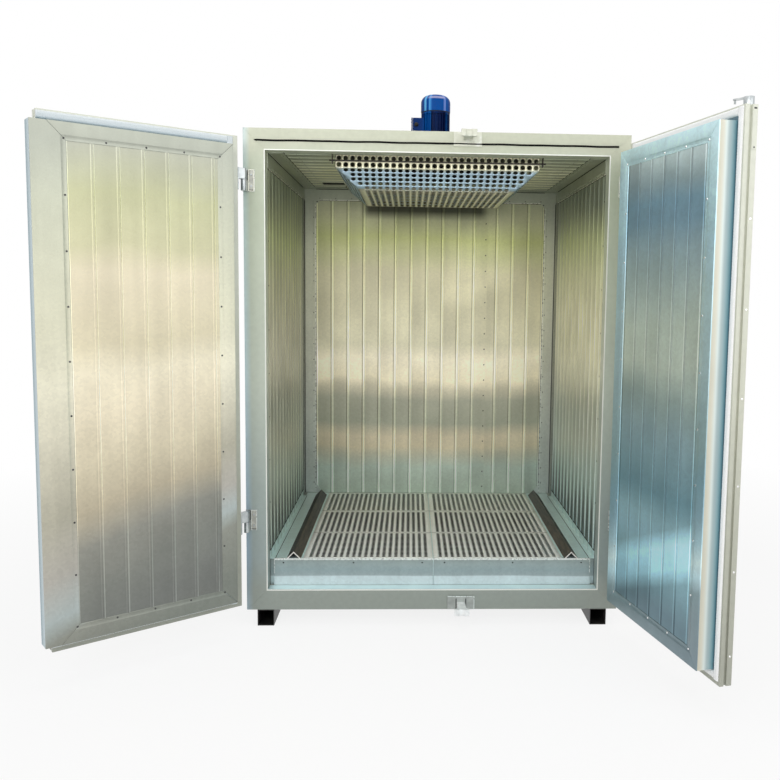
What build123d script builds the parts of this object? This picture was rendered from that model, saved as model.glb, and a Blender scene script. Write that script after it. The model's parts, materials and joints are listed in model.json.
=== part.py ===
from build123d import *
import os
from math import cos, radians, sin

# Powder coating oven, doors open. Millimetres, +Z up, +Y from the doorway to the back wall.
# The origin is on the ground, on the centre plane, in the plane of the front frame.

# Chamber and its panels
CHAMBER_W = 1600.0
CHAMBER_D = 1400.0
CLEAR_H = 1800.0          # from the deck to the fan guard
DECK_H = 130.0            # air duct under the deck
GUARD_DROP = 150.0        # fan guard below the ceiling
PANEL_T = 100.0           # sandwich panel
FRAME_D = 60.0            # folded front frame, front to back
SKID = 80.0               # square tube under the floor
SKID_INSET = 50.0         # from the panel's side
SKID_WALL = 4.0
TRIM_T = 1.5              # flashings and borders
CORNER_LEG = 75.0

# Doors, measured with both closed
LEAF_T = 52.0
LEAF_GAP = 14.0           # leaf to frame face
LIP_SIDE = 50.0           # leaf over the frame, at the hinge side
LIP_TOP = 46.0            # leaf over the frame, at top and bottom
GASKET_T = 6.0
GASKET_W = 30.0
GASKET_OFF = 4.0          # plug to gasket
PLUG_IN = 62.0            # plug's inner face behind the frame face
PLUG_GAP = 6.0            # plug to the doorway
LEAF_MEET = 14.0          # between the two leaves
PLUG_MEET = 14.0          # between the two plugs
LEFT_LEAF_END = -16.0
LEFT_PLUG_END = 26.0      # left plug runs past its leaf, as a rebate
REBATE_BACK = 12.0        # rebate's front behind the leaf's back
BORDER_W = 72.0
LAP_STRIP_W = 60.0        # extra strip on the left plug's free side

# How far each door stands open, and how far the lock is turned
LEFT_OPEN = 143.0
RIGHT_OPEN = 103.0
LOCK_TURN = 26.0

# Hinges
HINGE_OUT = 10.0          # axis inside the panel's outer face
HINGE_FRONT = 40.0        # axis in front of the frame face
PIN_R = 7.0
PIN_GAP = 0.06
KNUCKLE_R = 13.0
HINGE_H = 100.0
KNUCKLE_GAP = 1.0
HINGE_LOW = 345.0         # hinge's middle above the sill
HINGE_HIGH = 140.0        # upper hinge's middle below the header
PLATE_T = 6.0
PLATE_IN = 44.0           # plate's reach from the axis, towards the doorway

# Deck
SHEET = 2.0
FASCIA_Y = 70.0
DECK_INSET = 20.0         # deck's edge to the wall, under the skirting
EDGE_W = 138.0            # plain strip each side of the grilles
GRILLE_ROWS = 3
SEAM = 4.0
BEARER_W = 30.0
SKIRT_H = 40.0
RAIL_IN = 115.0           # rail's middle to the wall
RAIL_LEG = 50.0
RAIL_T = 5.0
RAIL_END = 60.0           # short of the back wall

# Fan guard
GUARD_W = 970.0
GUARD_L = 986.0
GUARD_Y = 90.0
COLLAR_H = 60.0
GUARD_RUN = 107.0
GUARD_T = 2.0
ROD_R = 4.0
ROD_OUT = 28.0
ROD_DROP = 28.0           # rod's line below the ceiling
STRAP_W = 30.0
STRAP_T = 3.0

# Motor on the roof
MOTOR_Y = 600.0
BASE_W = 300.0
BASE_T = 8.0
NECK_R = 60.0
NECK_H = 48.0
FLANGE_R = 100.0
FLANGE_T = 12.0
BODY_R = 76.0
BODY_H = 139.0
COWL_R = 78.0
COWL_H = 88.0
BOX_OUT = 52.0
BOX_W = 92.0
BOX_H = 72.0
GLAND_R = 10.0
GLAND_L = 18.0

# Lock: a turning rod on the right door, a keeper above and below the doorway
LOCK_X = 134.0
ROD_OFF = 56.0            # rod's axis in front of the leaf
BAR_R = 13.5
BAR_GAP = 0.1
KEEPER_W = 132.0
KEEPER_H = 66.0
KEEPER_T = 6.0
KEEPER_Z = 65.0           # plate's middle above or below the doorway
HEAD_LOW = 63.0           # keeper's head above or below the doorway
HEAD_H = 32.0
HEAD_W = 72.0
NECK_W = 42.0
HEAD_D = 10.0
HEAD_FLARE = 14.0         # from the head back to the neck
HUB_R = 20.0
HUB_GAP = 6.0
CLAW_T = 6.0
CLAW_GAP = 5.0
CLAW_W = 16.0
CLAW_R = 60.0
TOOTH_R = 52.0
TOOTH_ANGLE = 36.0        # from straight in, when locked
TOOTH_H = 13.0
BRACKET_W = 70.0
BRACKET_H = 40.0
LEVER_L = 320.0
LEVER_W = 28.0
LEVER_T = 10.0
LEVER_Z = 900.0           # above the sill

# Black seal along the header
SEAL_Z = 40.0             # above the doorway
SEAL_H = 9.0
SEAL_T = 8.0

# Levels and places worked out from the sizes
half = CHAMBER_W / 2
outer = half + PANEL_T
sill = SKID + PANEL_T
opening_h = DECK_H + CLEAR_H + GUARD_DROP
lintel = sill + opening_h
roof = lintel + PANEL_T
back = CHAMBER_D + PANEL_T
deck = sill + DECK_H
leaf_in = -LEAF_GAP
leaf_out = leaf_in - LEAF_T
hinge_x = outer - HINGE_OUT
hinge_y = -HINGE_FRONT
plug_back = PLUG_IN - TRIM_T
right_leaf_end = LEFT_LEAF_END + LEAF_MEET
right_plug_end = LEFT_PLUG_END + PLUG_MEET
rod_y = leaf_out - ROD_OFF

os.makedirs("parts", exist_ok=True)
left_axis = Axis((-hinge_x, hinge_y, 0), (0, 0, 1))
right_axis = Axis((hinge_x, hinge_y, 0), (0, 0, 1))
lock_axis = Axis((LOCK_X, rod_y, 0), (0, 0, 1))


def write(piece, name):
    piece.label = name
    export_step(piece, f"parts/{name}.step")


def write_left(piece, name):
    write(piece.rotate(left_axis, -LEFT_OPEN), name)


def write_right(piece, name):
    write(piece.rotate(right_axis, RIGHT_OPEN), name)


def write_lock(piece, name):
    write_right(piece.rotate(lock_axis, -LOCK_TURN), name)


def block(x, y, z, mode=Mode.ADD):
    """A box from its low and high limits along each axis, in the open part."""
    with Locations(((x[0] + x[1]) / 2, (y[0] + y[1]) / 2, (z[0] + z[1]) / 2)):
        Box(x[1] - x[0], y[1] - y[0], z[1] - z[0], mode=mode)


def upright(points, y0, y1):
    """A polygon seen from the front, filled from y0 to y1."""
    with BuildSketch(Plane.XZ.offset(-y0)) as profile:
        Polygon(*points, align=None)
    extrude(profile.sketch, amount=-(y1 - y0))


# Sandwich panels
with BuildPart() as left_wall:
    block((-outer, -half), (FRAME_D, CHAMBER_D), (SKID, lintel))
with BuildPart() as right_wall:
    block((half, outer), (FRAME_D, CHAMBER_D), (SKID, lintel))
with BuildPart() as back_wall:
    block((-outer, outer), (CHAMBER_D, back), (SKID, lintel))
with BuildPart() as floor_panel:
    block((-half, half), (FRAME_D, CHAMBER_D), (SKID, sill))
with BuildPart() as roof_panel:
    block((-outer, outer), (FRAME_D, back), (lintel, roof))
write(left_wall.part, "left_wall")
write(right_wall.part, "right_wall")
write(back_wall.part, "back_wall")
write(floor_panel.part, "floor_panel")
write(roof_panel.part, "roof_panel")

# Front frame, four members mitred at the corners
with BuildPart() as frame_left_stile:
    upright([(-outer, SKID), (-half, sill), (-half, lintel), (-outer, roof)], 0, FRAME_D)
with BuildPart() as frame_right_stile:
    upright([(outer, SKID), (outer, roof), (half, lintel), (half, sill)], 0, FRAME_D)
with BuildPart() as frame_header:
    upright([(-outer, roof), (-half, lintel), (half, lintel), (outer, roof)], 0, FRAME_D)
with BuildPart() as frame_sill:
    upright([(-outer, SKID), (outer, SKID), (half, sill), (-half, sill)], 0, FRAME_D)
write(frame_left_stile.part, "frame_left_stile")
write(frame_right_stile.part, "frame_right_stile")
write(frame_header.part, "frame_header")
write(frame_sill.part, "frame_sill")

# Skids, square tubes open at both ends
for name, side in (("left_skid", -1), ("right_skid", 1)):
    middle = side * (outer - SKID_INSET - SKID / 2)
    with BuildPart() as skid:
        with BuildSketch(Plane.XZ):
            with Locations((middle, SKID / 2)):
                Rectangle(SKID, SKID)
                Rectangle(SKID - 2 * SKID_WALL, SKID - 2 * SKID_WALL, mode=Mode.SUBTRACT)
        extrude(amount=-back)
    write(skid.part, name)

# Flashings inside the chamber: along the ceiling's edges and down the two back corners
with BuildPart() as chamber_trim:
    for side in (-1, 1):
        wall = side * half
        near = sorted((wall, wall - side * TRIM_T))
        far = sorted((wall, wall - side * CORNER_LEG))
        block(near, (FRAME_D, CHAMBER_D), (lintel - CORNER_LEG, lintel))
        block(far, (FRAME_D, CHAMBER_D), (lintel - TRIM_T, lintel))
        block(near, (CHAMBER_D - CORNER_LEG, CHAMBER_D), (deck, lintel))
        block(far, (CHAMBER_D - TRIM_T, CHAMBER_D), (deck, lintel))
    block((-half, half), (CHAMBER_D - CORNER_LEG, CHAMBER_D), (lintel - TRIM_T, lintel))
    block((-half, half), (CHAMBER_D - TRIM_T, CHAMBER_D), (lintel - CORNER_LEG, lintel))
write(chamber_trim.part, "chamber_trim")

# Skirting at the foot of the walls, over the deck's edge
with BuildPart() as skirting:
    for side in (-1, 1):
        wall = side * half
        along = (FASCIA_Y, CHAMBER_D - CORNER_LEG)
        block(sorted((wall, wall - side * TRIM_T)), along, (deck, deck + SKIRT_H))
        block(sorted((wall, wall - side * (DECK_INSET + TRIM_T))), along, (deck, deck + TRIM_T))
write(skirting.part, "skirting")

# Deck: bearers front to back, plain edges, grilles in two columns, fascia in two halves
grille_out = half - DECK_INSET - EDGE_W
deck_y = (FASCIA_Y + SHEET, CHAMBER_D - TRIM_T)
with BuildPart() as deck_bearers:
    for middle in (-grille_out, 0, grille_out):
        block((middle - BEARER_W / 2, middle + BEARER_W / 2), deck_y, (sill, deck - SHEET))
write(deck_bearers.part, "deck_bearers")
for name, side in (("left", -1), ("right", 1)):
    with BuildPart() as deck_edge:
        inner = side * (grille_out + SEAM / 2)
        wall = side * (half - DECK_INSET)
        block(sorted((inner, wall)), deck_y, (deck - SHEET, deck))
        block(sorted((wall, wall - side * SHEET)), deck_y, (sill, deck - SHEET))
    write(deck_edge.part, f"deck_edge_{name}")
    with BuildPart() as fascia:
        block(sorted((side * SEAM / 4, wall)), (FASCIA_Y, FASCIA_Y + SHEET), (sill, deck))
    write(fascia.part, f"deck_fascia_{name}")
    row_l = (deck_y[1] - deck_y[0]) / GRILLE_ROWS
    for row, place in enumerate(("front", "middle", "rear")[:GRILLE_ROWS]):
        start = deck_y[0] + row * row_l
        with BuildPart() as grille:
            block(sorted((side * SEAM / 2, side * (grille_out - SEAM / 2))),
                  (start + SEAM / 2, start + row_l - SEAM / 2), (deck - SHEET, deck))
        write(grille.part, f"grille_{place}_{name}")

# Rails on the deck, angle iron with its corner up
rise = RAIL_LEG / 2 ** 0.5
inner_rise = rise - RAIL_T * 2 ** 0.5
for name, side in (("left_rail", -1), ("right_rail", 1)):
    with BuildPart() as rail:
        middle = side * (half - RAIL_IN)
        upright([(middle - rise, deck), (middle, deck + rise), (middle + rise, deck),
                 (middle + inner_rise, deck), (middle, deck + inner_rise), (middle - inner_rise, deck)],
                FASCIA_Y, CHAMBER_D - RAIL_END)
    write(rail.part, name)

# Fan guard under the ceiling: a collar, a sloping screen and the two rods that lie along the collar
guard_mid = GUARD_Y + GUARD_L / 2
collar_z = lintel - COLLAR_H
rod_z = lintel - ROD_DROP
guard_z = lintel - GUARD_DROP
with BuildPart() as guard_collar:
    with BuildSketch(Plane.XY.offset(collar_z)):
        with Locations((0, guard_mid)):
            Rectangle(GUARD_W, GUARD_L)
            Rectangle(GUARD_W - 2 * GUARD_T, GUARD_L - 2 * GUARD_T, mode=Mode.SUBTRACT)
    extrude(amount=COLLAR_H)
write(guard_collar.part, "guard_collar")
with BuildPart() as guard_screen:
    for inset, floor, mode in ((0, 0, Mode.ADD), (GUARD_T, GUARD_T, Mode.SUBTRACT)):
        with BuildSketch(Plane.XY.offset(guard_z + floor)) as low:
            with Locations((0, guard_mid)):
                Rectangle(GUARD_W - 2 * GUARD_RUN - inset, GUARD_L - 2 * GUARD_RUN - inset)
        with BuildSketch(Plane.XY.offset(collar_z)) as high:
            with Locations((0, guard_mid)):
                Rectangle(GUARD_W - 2 * inset, GUARD_L - 2 * inset)
        loft(sections=[low.sketch, high.sketch], mode=mode)
write(guard_screen.part, "guard_screen")
strap_x = GUARD_W / 2 + ROD_OUT / 2
for name, y in (("guard_rod_front", GUARD_Y - ROD_R), ("guard_rod_rear", GUARD_Y + GUARD_L + ROD_R)):
    with BuildPart() as guard_rod:
        with Locations((0, y, rod_z)):
            Cylinder(ROD_R, GUARD_W + 2 * ROD_OUT, rotation=(0, 90, 0))
        for side in (-1, 1):
            block((side * strap_x - STRAP_T / 2, side * strap_x + STRAP_T / 2),
                  (y - STRAP_W / 2, y + STRAP_W / 2), (rod_z - STRAP_W / 2, lintel))
    write(guard_rod.part, name)

# Fan motor, upright on the roof
body_z = roof + BASE_T + NECK_H + FLANGE_T
cowl_z = body_z + BODY_H
with BuildPart() as motor_base:
    block((-BASE_W / 2, BASE_W / 2), (MOTOR_Y - BASE_W / 2, MOTOR_Y + BASE_W / 2), (roof, roof + BASE_T))
    with BuildSketch(Plane.XY.offset(roof + BASE_T)):
        with Locations((0, MOTOR_Y)):
            Circle(NECK_R)
    extrude(amount=NECK_H)
write(motor_base.part, "motor_base")
with BuildPart() as motor_body:
    with BuildSketch(Plane.XY.offset(body_z - FLANGE_T)):
        with Locations((0, MOTOR_Y)):
            Circle(FLANGE_R)
    extrude(amount=FLANGE_T)
    with BuildSketch(Plane.XY.offset(body_z)):
        with Locations((0, MOTOR_Y)):
            Circle(BODY_R)
    extrude(amount=BODY_H)
write(motor_body.part, "motor_body")
with BuildPart() as motor_cowl:
    with BuildSketch(Plane.XY.offset(cowl_z)):
        with Locations((0, MOTOR_Y)):
            Circle(COWL_R)
    extrude(amount=COWL_H)
    fillet(motor_cowl.faces().sort_by(Axis.Z)[-1].edges(), COWL_R / 2)
write(motor_cowl.part, "motor_cowl")
with BuildPart() as motor_box:
    box_z = body_z + BODY_H / 2
    block((-BODY_R - BOX_OUT, -BODY_R / 2), (MOTOR_Y - BOX_W / 2, MOTOR_Y + BOX_W / 2),
          (box_z - BOX_H / 2, box_z + BOX_H / 2))
    with BuildSketch(Plane.XY.offset(body_z)):
        with Locations((0, MOTOR_Y)):
            Circle(BODY_R)
    extrude(amount=BODY_H, mode=Mode.SUBTRACT)
    with Locations((-BODY_R - BOX_OUT / 2, MOTOR_Y - BOX_W / 2 - GLAND_L / 2, box_z)):
        Cylinder(GLAND_R, GLAND_L, rotation=(90, 0, 0))
write(motor_box.part, "motor_box")

# Black seal along the header, let over the keeper's plate
with BuildPart() as header_seal:
    block((-half - LIP_SIDE, half + LIP_SIDE), (-SEAL_T, 0), (lintel + SEAL_Z, lintel + SEAL_Z + SEAL_H))
    block((LOCK_X - KEEPER_W / 2, LOCK_X + KEEPER_W / 2), (-KEEPER_T, 0),
          (lintel + KEEPER_Z - KEEPER_H / 2, lintel + KEEPER_Z + KEEPER_H / 2), mode=Mode.SUBTRACT)
write(header_seal.part, "header_seal")


def keeper(datum, way):
    """Plate and forked head: datum is the doorway's edge, way is up (1) or down (-1)."""
    with BuildPart() as made:
        middle = datum + way * KEEPER_Z
        block((LOCK_X - KEEPER_W / 2, LOCK_X + KEEPER_W / 2), (-KEEPER_T, 0),
              (middle - KEEPER_H / 2, middle + KEEPER_H / 2))
        low = min(datum + way * HEAD_LOW, datum + way * (HEAD_LOW + HEAD_H))
        tip = rod_y + HUB_R
        with BuildSketch(Plane.XY.offset(low)):
            right = [(LOCK_X + NECK_W / 2, -KEEPER_T), (LOCK_X + NECK_W / 2, tip + HEAD_D + HEAD_FLARE),
                     (LOCK_X + HEAD_W / 2, tip + HEAD_D), (LOCK_X + HEAD_W / 2, tip)]
            left = [(2 * LOCK_X - x, y) for x, y in reversed(right)]
            Polygon(*right, *left, align=None)
            with Locations((LOCK_X, rod_y)):
                Circle(HUB_R + HUB_GAP, mode=Mode.SUBTRACT)
        extrude(amount=HEAD_H)
    return made.part


write(keeper(lintel, 1), "top_keeper")
write(keeper(sill, -1), "bottom_keeper")


def frame_hinges(side):
    """Plates and lower knuckles on one stile, with their pins."""
    with BuildPart() as made:
        axis_x = side * hinge_x
        for middle in (HINGE_LOW, opening_h - HINGE_HIGH):
            low = sill + middle - HINGE_H / 2
            joint = low + HINGE_H / 2
            block(sorted((axis_x + side * HINGE_OUT, axis_x - side * PLATE_IN)), (-PLATE_T, 0), (low, low + HINGE_H))
            block((axis_x - KNUCKLE_R, axis_x + KNUCKLE_R), (hinge_y, 0), (low, joint - KNUCKLE_GAP / 2))
            with BuildSketch(Plane.XY.offset(low)):
                with Locations((axis_x, hinge_y)):
                    Circle(KNUCKLE_R)
            extrude(amount=HINGE_H / 2 - KNUCKLE_GAP / 2)
            with BuildSketch(Plane.XY.offset(low)):
                with Locations((axis_x, hinge_y)):
                    Circle(PIN_R)
            extrude(amount=HINGE_H)
    return made.part


def door_hinges(side):
    """Flanges on the leaf's edge and upper knuckles, bored for the pins."""
    with BuildPart() as made:
        axis_x = side * hinge_x
        edge = side * (half + LIP_SIDE)
        for middle in (HINGE_LOW, opening_h - HINGE_HIGH):
            low = sill + middle - HINGE_H / 2
            joint = low + HINGE_H / 2 + KNUCKLE_GAP / 2
            block(sorted((edge, edge + side * PLATE_T)), (leaf_out, leaf_in), (low, low + HINGE_H))
            block(sorted((edge, axis_x)), (hinge_y - KNUCKLE_R, hinge_y + KNUCKLE_R), (joint, low + HINGE_H))
            with BuildSketch(Plane.XY.offset(joint)):
                with Locations((axis_x, hinge_y)):
                    Circle(KNUCKLE_R)
            extrude(amount=low + HINGE_H - joint)
            with Locations((axis_x, hinge_y, low + HINGE_H / 2)):
                Cylinder(PIN_R + PIN_GAP, 2 * HINGE_H, mode=Mode.SUBTRACT)
    return made.part


write(frame_hinges(-1), "left_frame_hinges")
write(frame_hinges(1), "right_frame_hinges")
write_left(door_hinges(-1), "left_door_hinges")
write_right(door_hinges(1), "right_door_hinges")

# Left door: leaf over the frame, plug in the doorway with a rebate past the leaf
leaf_z = (sill - LIP_TOP, lintel + LIP_TOP)
plug_z = (sill + PLUG_GAP, lintel - PLUG_GAP)
plug_side = half - PLUG_GAP
with BuildPart() as left_leaf:
    block((-half - LIP_SIDE, LEFT_LEAF_END), (leaf_out, leaf_in), leaf_z)
write_left(left_leaf.part, "left_door_leaf")
with BuildPart() as left_plug:
    block((-plug_side, LEFT_LEAF_END), (leaf_in, plug_back), plug_z)
    block((LEFT_LEAF_END, LEFT_PLUG_END), (leaf_in + REBATE_BACK, plug_back), plug_z)
write_left(left_plug.part, "left_door_plug")

# Right door: its free lip covers the left door's rebate
with BuildPart() as right_leaf:
    block((right_leaf_end, half + LIP_SIDE), (leaf_out, leaf_in), leaf_z)
write_right(right_leaf.part, "right_door_leaf")
with BuildPart() as right_plug:
    block((right_plug_end, plug_side), (leaf_in, plug_back), plug_z)
write_right(right_plug.part, "right_door_plug")


def border(x0, x1):
    """Mitred border strips round a plug's inner face."""
    with BuildPart() as made:
        block((x0, x1), (plug_back, PLUG_IN), plug_z)
        block((x0 + BORDER_W, x1 - BORDER_W), (plug_back, PLUG_IN),
              (plug_z[0] + BORDER_W, plug_z[1] - BORDER_W), mode=Mode.SUBTRACT)
    return made.part


mitre_end = LEFT_PLUG_END - LAP_STRIP_W
with BuildPart() as left_border:
    add(border(-plug_side, mitre_end))
    block((mitre_end, LEFT_PLUG_END), (plug_back, PLUG_IN), plug_z)
write_left(left_border.part, "left_door_border")
write_right(border(right_plug_end, plug_side), "right_door_border")


def gasket(x0, x1, free_side):
    """Seal on the lip round a plug that spans x0 to x1; free_side says if the meeting lip has one."""
    front = (leaf_in, leaf_in + GASKET_T)
    low, high = plug_z
    grow = GASKET_OFF + GASKET_W
    with BuildPart() as made:
        block((x0 - grow, x1 + grow), front, (low - grow, high + grow))
        block((x0 - GASKET_OFF, x1 + GASKET_OFF), front, (low - GASKET_OFF, high + GASKET_OFF), mode=Mode.SUBTRACT)
        if not free_side:
            block((LEFT_LEAF_END, x1 + grow), front, (low - grow, high + grow), mode=Mode.SUBTRACT)
    return made.part


write_left(gasket(-plug_side, LEFT_LEAF_END, False), "left_door_gasket")
write_right(gasket(right_plug_end, plug_side, True), "right_door_gasket")

# Lock brackets on the right leaf: a plate and a bored block each
lever_z = sill + LEVER_Z
bracket_z = (leaf_z[0] + BRACKET_H, lever_z - 3 * BRACKET_H, lever_z + 3 * BRACKET_H, leaf_z[1] - BRACKET_H)
with BuildPart() as lock_brackets:
    for middle in bracket_z:
        span = (middle - BRACKET_H / 2, middle + BRACKET_H / 2)
        block((LOCK_X - BRACKET_W / 2, LOCK_X + BRACKET_W / 2), (leaf_out - PLATE_T, leaf_out), span)
        block((LOCK_X - HUB_R, LOCK_X + HUB_R), (rod_y - HUB_R, leaf_out - PLATE_T), span)
    with Locations((LOCK_X, rod_y, lever_z)):
        Cylinder(BAR_R + BAR_GAP, 2 * roof, mode=Mode.SUBTRACT)
write_right(lock_brackets.part, "lock_brackets")

# Lock bar: the rod, a claw at each end and the hand lever
claw_low = HEAD_LOW - CLAW_GAP - CLAW_T
claw_high = HEAD_LOW + HEAD_H + CLAW_GAP
with BuildPart() as lock_rod:
    with BuildSketch(Plane.XY.offset(sill - claw_low)):
        with Locations((LOCK_X, rod_y)):
            Circle(BAR_R)
    extrude(amount=opening_h + 2 * claw_low)
write_lock(lock_rod.part, "lock_rod")


def claw(datum, way):
    """Hub with two claws above and below the keeper's head; each ends in a tooth."""
    mid_r = (TOOTH_R + CLAW_R) / 2
    tooth = (LOCK_X + mid_r * sin(radians(TOOTH_ANGLE)), rod_y + mid_r * cos(radians(TOOTH_ANGLE)))
    levels = sorted((datum + way * claw_low, datum + way * (claw_high + CLAW_T)))
    with BuildPart() as made:
        with BuildSketch(Plane.XY.offset(levels[0])):
            with Locations((LOCK_X, rod_y)):
                Circle(HUB_R)
        extrude(amount=levels[1] - levels[0])
        for low, tooth_way in ((levels[0], 1), (levels[1] - CLAW_T, -1)):
            with BuildSketch(Plane.XY.offset(low)):
                with Locations(((LOCK_X + tooth[0]) / 2, (rod_y + tooth[1]) / 2)):
                    SlotCenterToCenter(mid_r, CLAW_W, rotation=90 - TOOTH_ANGLE)
            extrude(amount=CLAW_T)
            start = low + CLAW_T if tooth_way > 0 else low - TOOTH_H
            with BuildSketch(Plane.XY.offset(start)):
                with Locations(tooth):
                    Circle((CLAW_R - TOOTH_R) / 2)
            extrude(amount=TOOTH_H)
    return made.part


write_lock(claw(lintel, 1), "top_claw")
write_lock(claw(sill, -1), "bottom_claw")
with BuildPart() as lock_lever:
    with BuildSketch(Plane.XY.offset(lever_z - LEVER_W / 2)):
        with Locations((LOCK_X, rod_y)):
            Circle(HUB_R)
            Circle(BAR_R, mode=Mode.SUBTRACT)
    extrude(amount=LEVER_W)
    block((LOCK_X + BAR_R + 1, LOCK_X + LEVER_L), (rod_y - LEVER_T / 2, rod_y + LEVER_T / 2),
          (lever_z - LEVER_W / 2, lever_z + LEVER_W / 2))
write_lock(lock_lever.part, "lock_lever")
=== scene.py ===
import json
import math

import bmesh
import bpy
from mathutils import Matrix, Vector


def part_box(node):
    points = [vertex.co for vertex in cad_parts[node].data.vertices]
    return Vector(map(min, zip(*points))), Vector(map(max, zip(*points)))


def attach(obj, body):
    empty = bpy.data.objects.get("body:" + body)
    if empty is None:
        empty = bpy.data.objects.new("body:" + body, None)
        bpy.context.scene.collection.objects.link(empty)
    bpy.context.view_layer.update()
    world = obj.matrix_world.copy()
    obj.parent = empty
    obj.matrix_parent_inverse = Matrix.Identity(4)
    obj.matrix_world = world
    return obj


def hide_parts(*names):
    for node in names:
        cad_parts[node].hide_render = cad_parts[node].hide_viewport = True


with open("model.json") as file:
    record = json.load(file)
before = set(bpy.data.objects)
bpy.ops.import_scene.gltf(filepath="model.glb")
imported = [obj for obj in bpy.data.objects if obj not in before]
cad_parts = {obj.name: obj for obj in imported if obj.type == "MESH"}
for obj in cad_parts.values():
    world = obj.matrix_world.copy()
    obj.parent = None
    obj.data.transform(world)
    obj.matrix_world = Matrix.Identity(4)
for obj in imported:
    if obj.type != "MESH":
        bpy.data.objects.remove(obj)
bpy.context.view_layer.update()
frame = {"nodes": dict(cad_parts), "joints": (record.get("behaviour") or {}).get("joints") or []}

# Walls, back and roof: sandwich panels of thin steel on rock wool, 100 mm thick.
# The outer skin is coated sheet, roll-formed with a shallow rib every 100 mm.
MM = 0.001
RIB_PITCH = 100
FIRST_RIB = 50
LAST_RIB = 40
RIB_FOOT = 15
RIB_TOP = 7
SKIN_RISE = 1.6
FLASHING = 1.5
PAINTED_SHEEN_WIDTH = 0.026
PAINTED_SHEEN_TINT = (1.08, 1.22, 1.52)


def limits(node):
    """A node's low and high corner, in millimetres."""
    low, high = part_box(node)
    return low / MM, high / MM


def prism(bm, outline, axis, low, high):
    """An outline, given in the two axes square to axis, carried from low to high."""
    ends = []
    for level in (low, high):
        ring = []
        for pair in outline:
            point = list(pair)
            point.insert(axis, level)
            ring.append(bm.verts.new(Vector(point) * MM))
        bm.faces.new(ring)
        ends.append(ring)
    for i in range(len(outline)):
        j = (i + 1) % len(outline)
        bm.faces.new((ends[0][i], ends[0][j], ends[1][j], ends[1][i]))


def ribbed(start, stop, middles, face, rise):
    """Points of a rolled sheet's face from start to stop, with a rib at each middle."""
    points = [(start, face)]
    way = 1 if stop > start else -1
    for middle in sorted(middles, reverse=way < 0):
        points += [(middle - way * RIB_FOOT / 2, face), (middle - way * RIB_TOP / 2, face + rise),
                   (middle + way * RIB_TOP / 2, face + rise), (middle + way * RIB_FOOT / 2, face)]
    return points + [(stop, face)]


def spaced(start, stop, step):
    """Places from start up to stop, a step apart."""
    return [start + step * i for i in range(int((stop - start) / step + 1e-6) + 1)]


def dress(thing, finish, bevel=0, segments=2, weld=False):
    """Gives an object its material, and rounds its sharp edges."""
    thing.data.materials.clear()
    thing.data.materials.append(finish)
    if weld:
        thing.modifiers.new("weld", "WELD").merge_threshold = 0.02 * MM
    if bevel:
        rounding = thing.modifiers.new("rounding", "BEVEL")
        rounding.width = bevel * MM
        rounding.segments = segments
        rounding.limit_method = "ANGLE"
        rounding.angle_limit = math.radians(40)
        rounding.use_clamp_overlap = True
        rounding.harden_normals = True


def piece(name, bm, body, finish, stands_for=(), bevel=0, smooth=30, at=None, sheet=0, rim=None):
    """Makes the mesh an object that rides on a body and may stand for CAD nodes.

    A sheet gets its thickness here, and rim is the finish of its cut edges."""
    bmesh.ops.recalc_face_normals(bm, faces=bm.faces)
    mesh = bpy.data.meshes.new(name)
    bm.to_mesh(mesh)
    bm.free()
    mesh.shade_smooth()
    mesh.set_sharp_from_angle(angle=math.radians(smooth))
    thing = bpy.data.objects.new(name, mesh)
    bpy.context.scene.collection.objects.link(thing)
    if sheet:
        thickness = thing.modifiers.new("thickness", "SOLIDIFY")
        thickness.thickness = sheet * MM
        thickness.offset = 0
    dress(thing, finish, bevel)
    if rim:
        thing.data.materials.append(rim)
        thickness.material_offset_rim = 1
    if at:
        thing.matrix_world = at
    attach(thing, body)
    if stands_for:
        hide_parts(*stands_for)


def node(mat, kind, values=None, **settings):
    """Adds a shader node; each value is a number, a colour or another node's socket."""
    made = mat.node_tree.nodes.new("ShaderNode" + kind)
    for key, value in settings.items():
        setattr(made, key, value)
    for key, value in (values or {}).items():
        if isinstance(value, bpy.types.NodeSocket):
            mat.node_tree.links.new(value, made.inputs[key])
        else:
            made.inputs[key].default_value = value
    return made


def finish_of(name, metallic, roughness, **sockets):
    """A new material, its main shader and its object coordinates."""
    mat = bpy.data.materials.new(name)
    mat.use_nodes = True
    shader = mat.node_tree.nodes["Principled BSDF"]
    shader.inputs["Metallic"].default_value = metallic
    shader.inputs["Roughness"].default_value = roughness
    for key, value in sockets.items():
        shader.inputs[key.replace("_", " ")].default_value = value
    return mat, shader, node(mat, "TexCoord").outputs["Object"]


def noise(mat, where, scale, detail=2, rough=0.5):
    """A cloudy pattern, finer as scale grows."""
    values = {"Vector": where, "Scale": scale, "Detail": detail, "Roughness": rough}
    return node(mat, "TexNoise", values).outputs["Fac"]


def ramp(mat, factor, stops):
    """A colour ramp; stops are (position, (red, green, blue)) pairs."""
    made = node(mat, "ValToRGB", {"Fac": factor})
    marks = made.color_ramp.elements
    for i, (position, colour) in enumerate(stops):
        mark = marks[i] if i < 2 else marks.new(position)
        mark.position = position
        mark.color = (*colour, 1)
    return made.outputs["Color"]


def span(mat, value, low, high, to_low=0.0, to_high=1.0):
    """Carries a value from one range to another."""
    values = {"Value": value, "From Min": low, "From Max": high, "To Min": to_low, "To Max": to_high}
    return node(mat, "MapRange", values).outputs["Result"]


def sum_of(mat, a, b):
    return node(mat, "Math", {0: a, 1: b}, operation="ADD").outputs["Value"]


def times(mat, colour, factor):
    """A colour made lighter or darker by a factor."""
    grey = node(mat, "CombineColor", {"Red": factor, "Green": factor, "Blue": factor}).outputs["Color"]
    mixed = node(mat, "Mix", {"Factor": 1.0}, data_type="RGBA", blend_type="MULTIPLY")
    mat.node_tree.links.new(colour, mixed.inputs["A"])
    mat.node_tree.links.new(grey, mixed.inputs["B"])
    return mixed.outputs["Result"]


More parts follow.
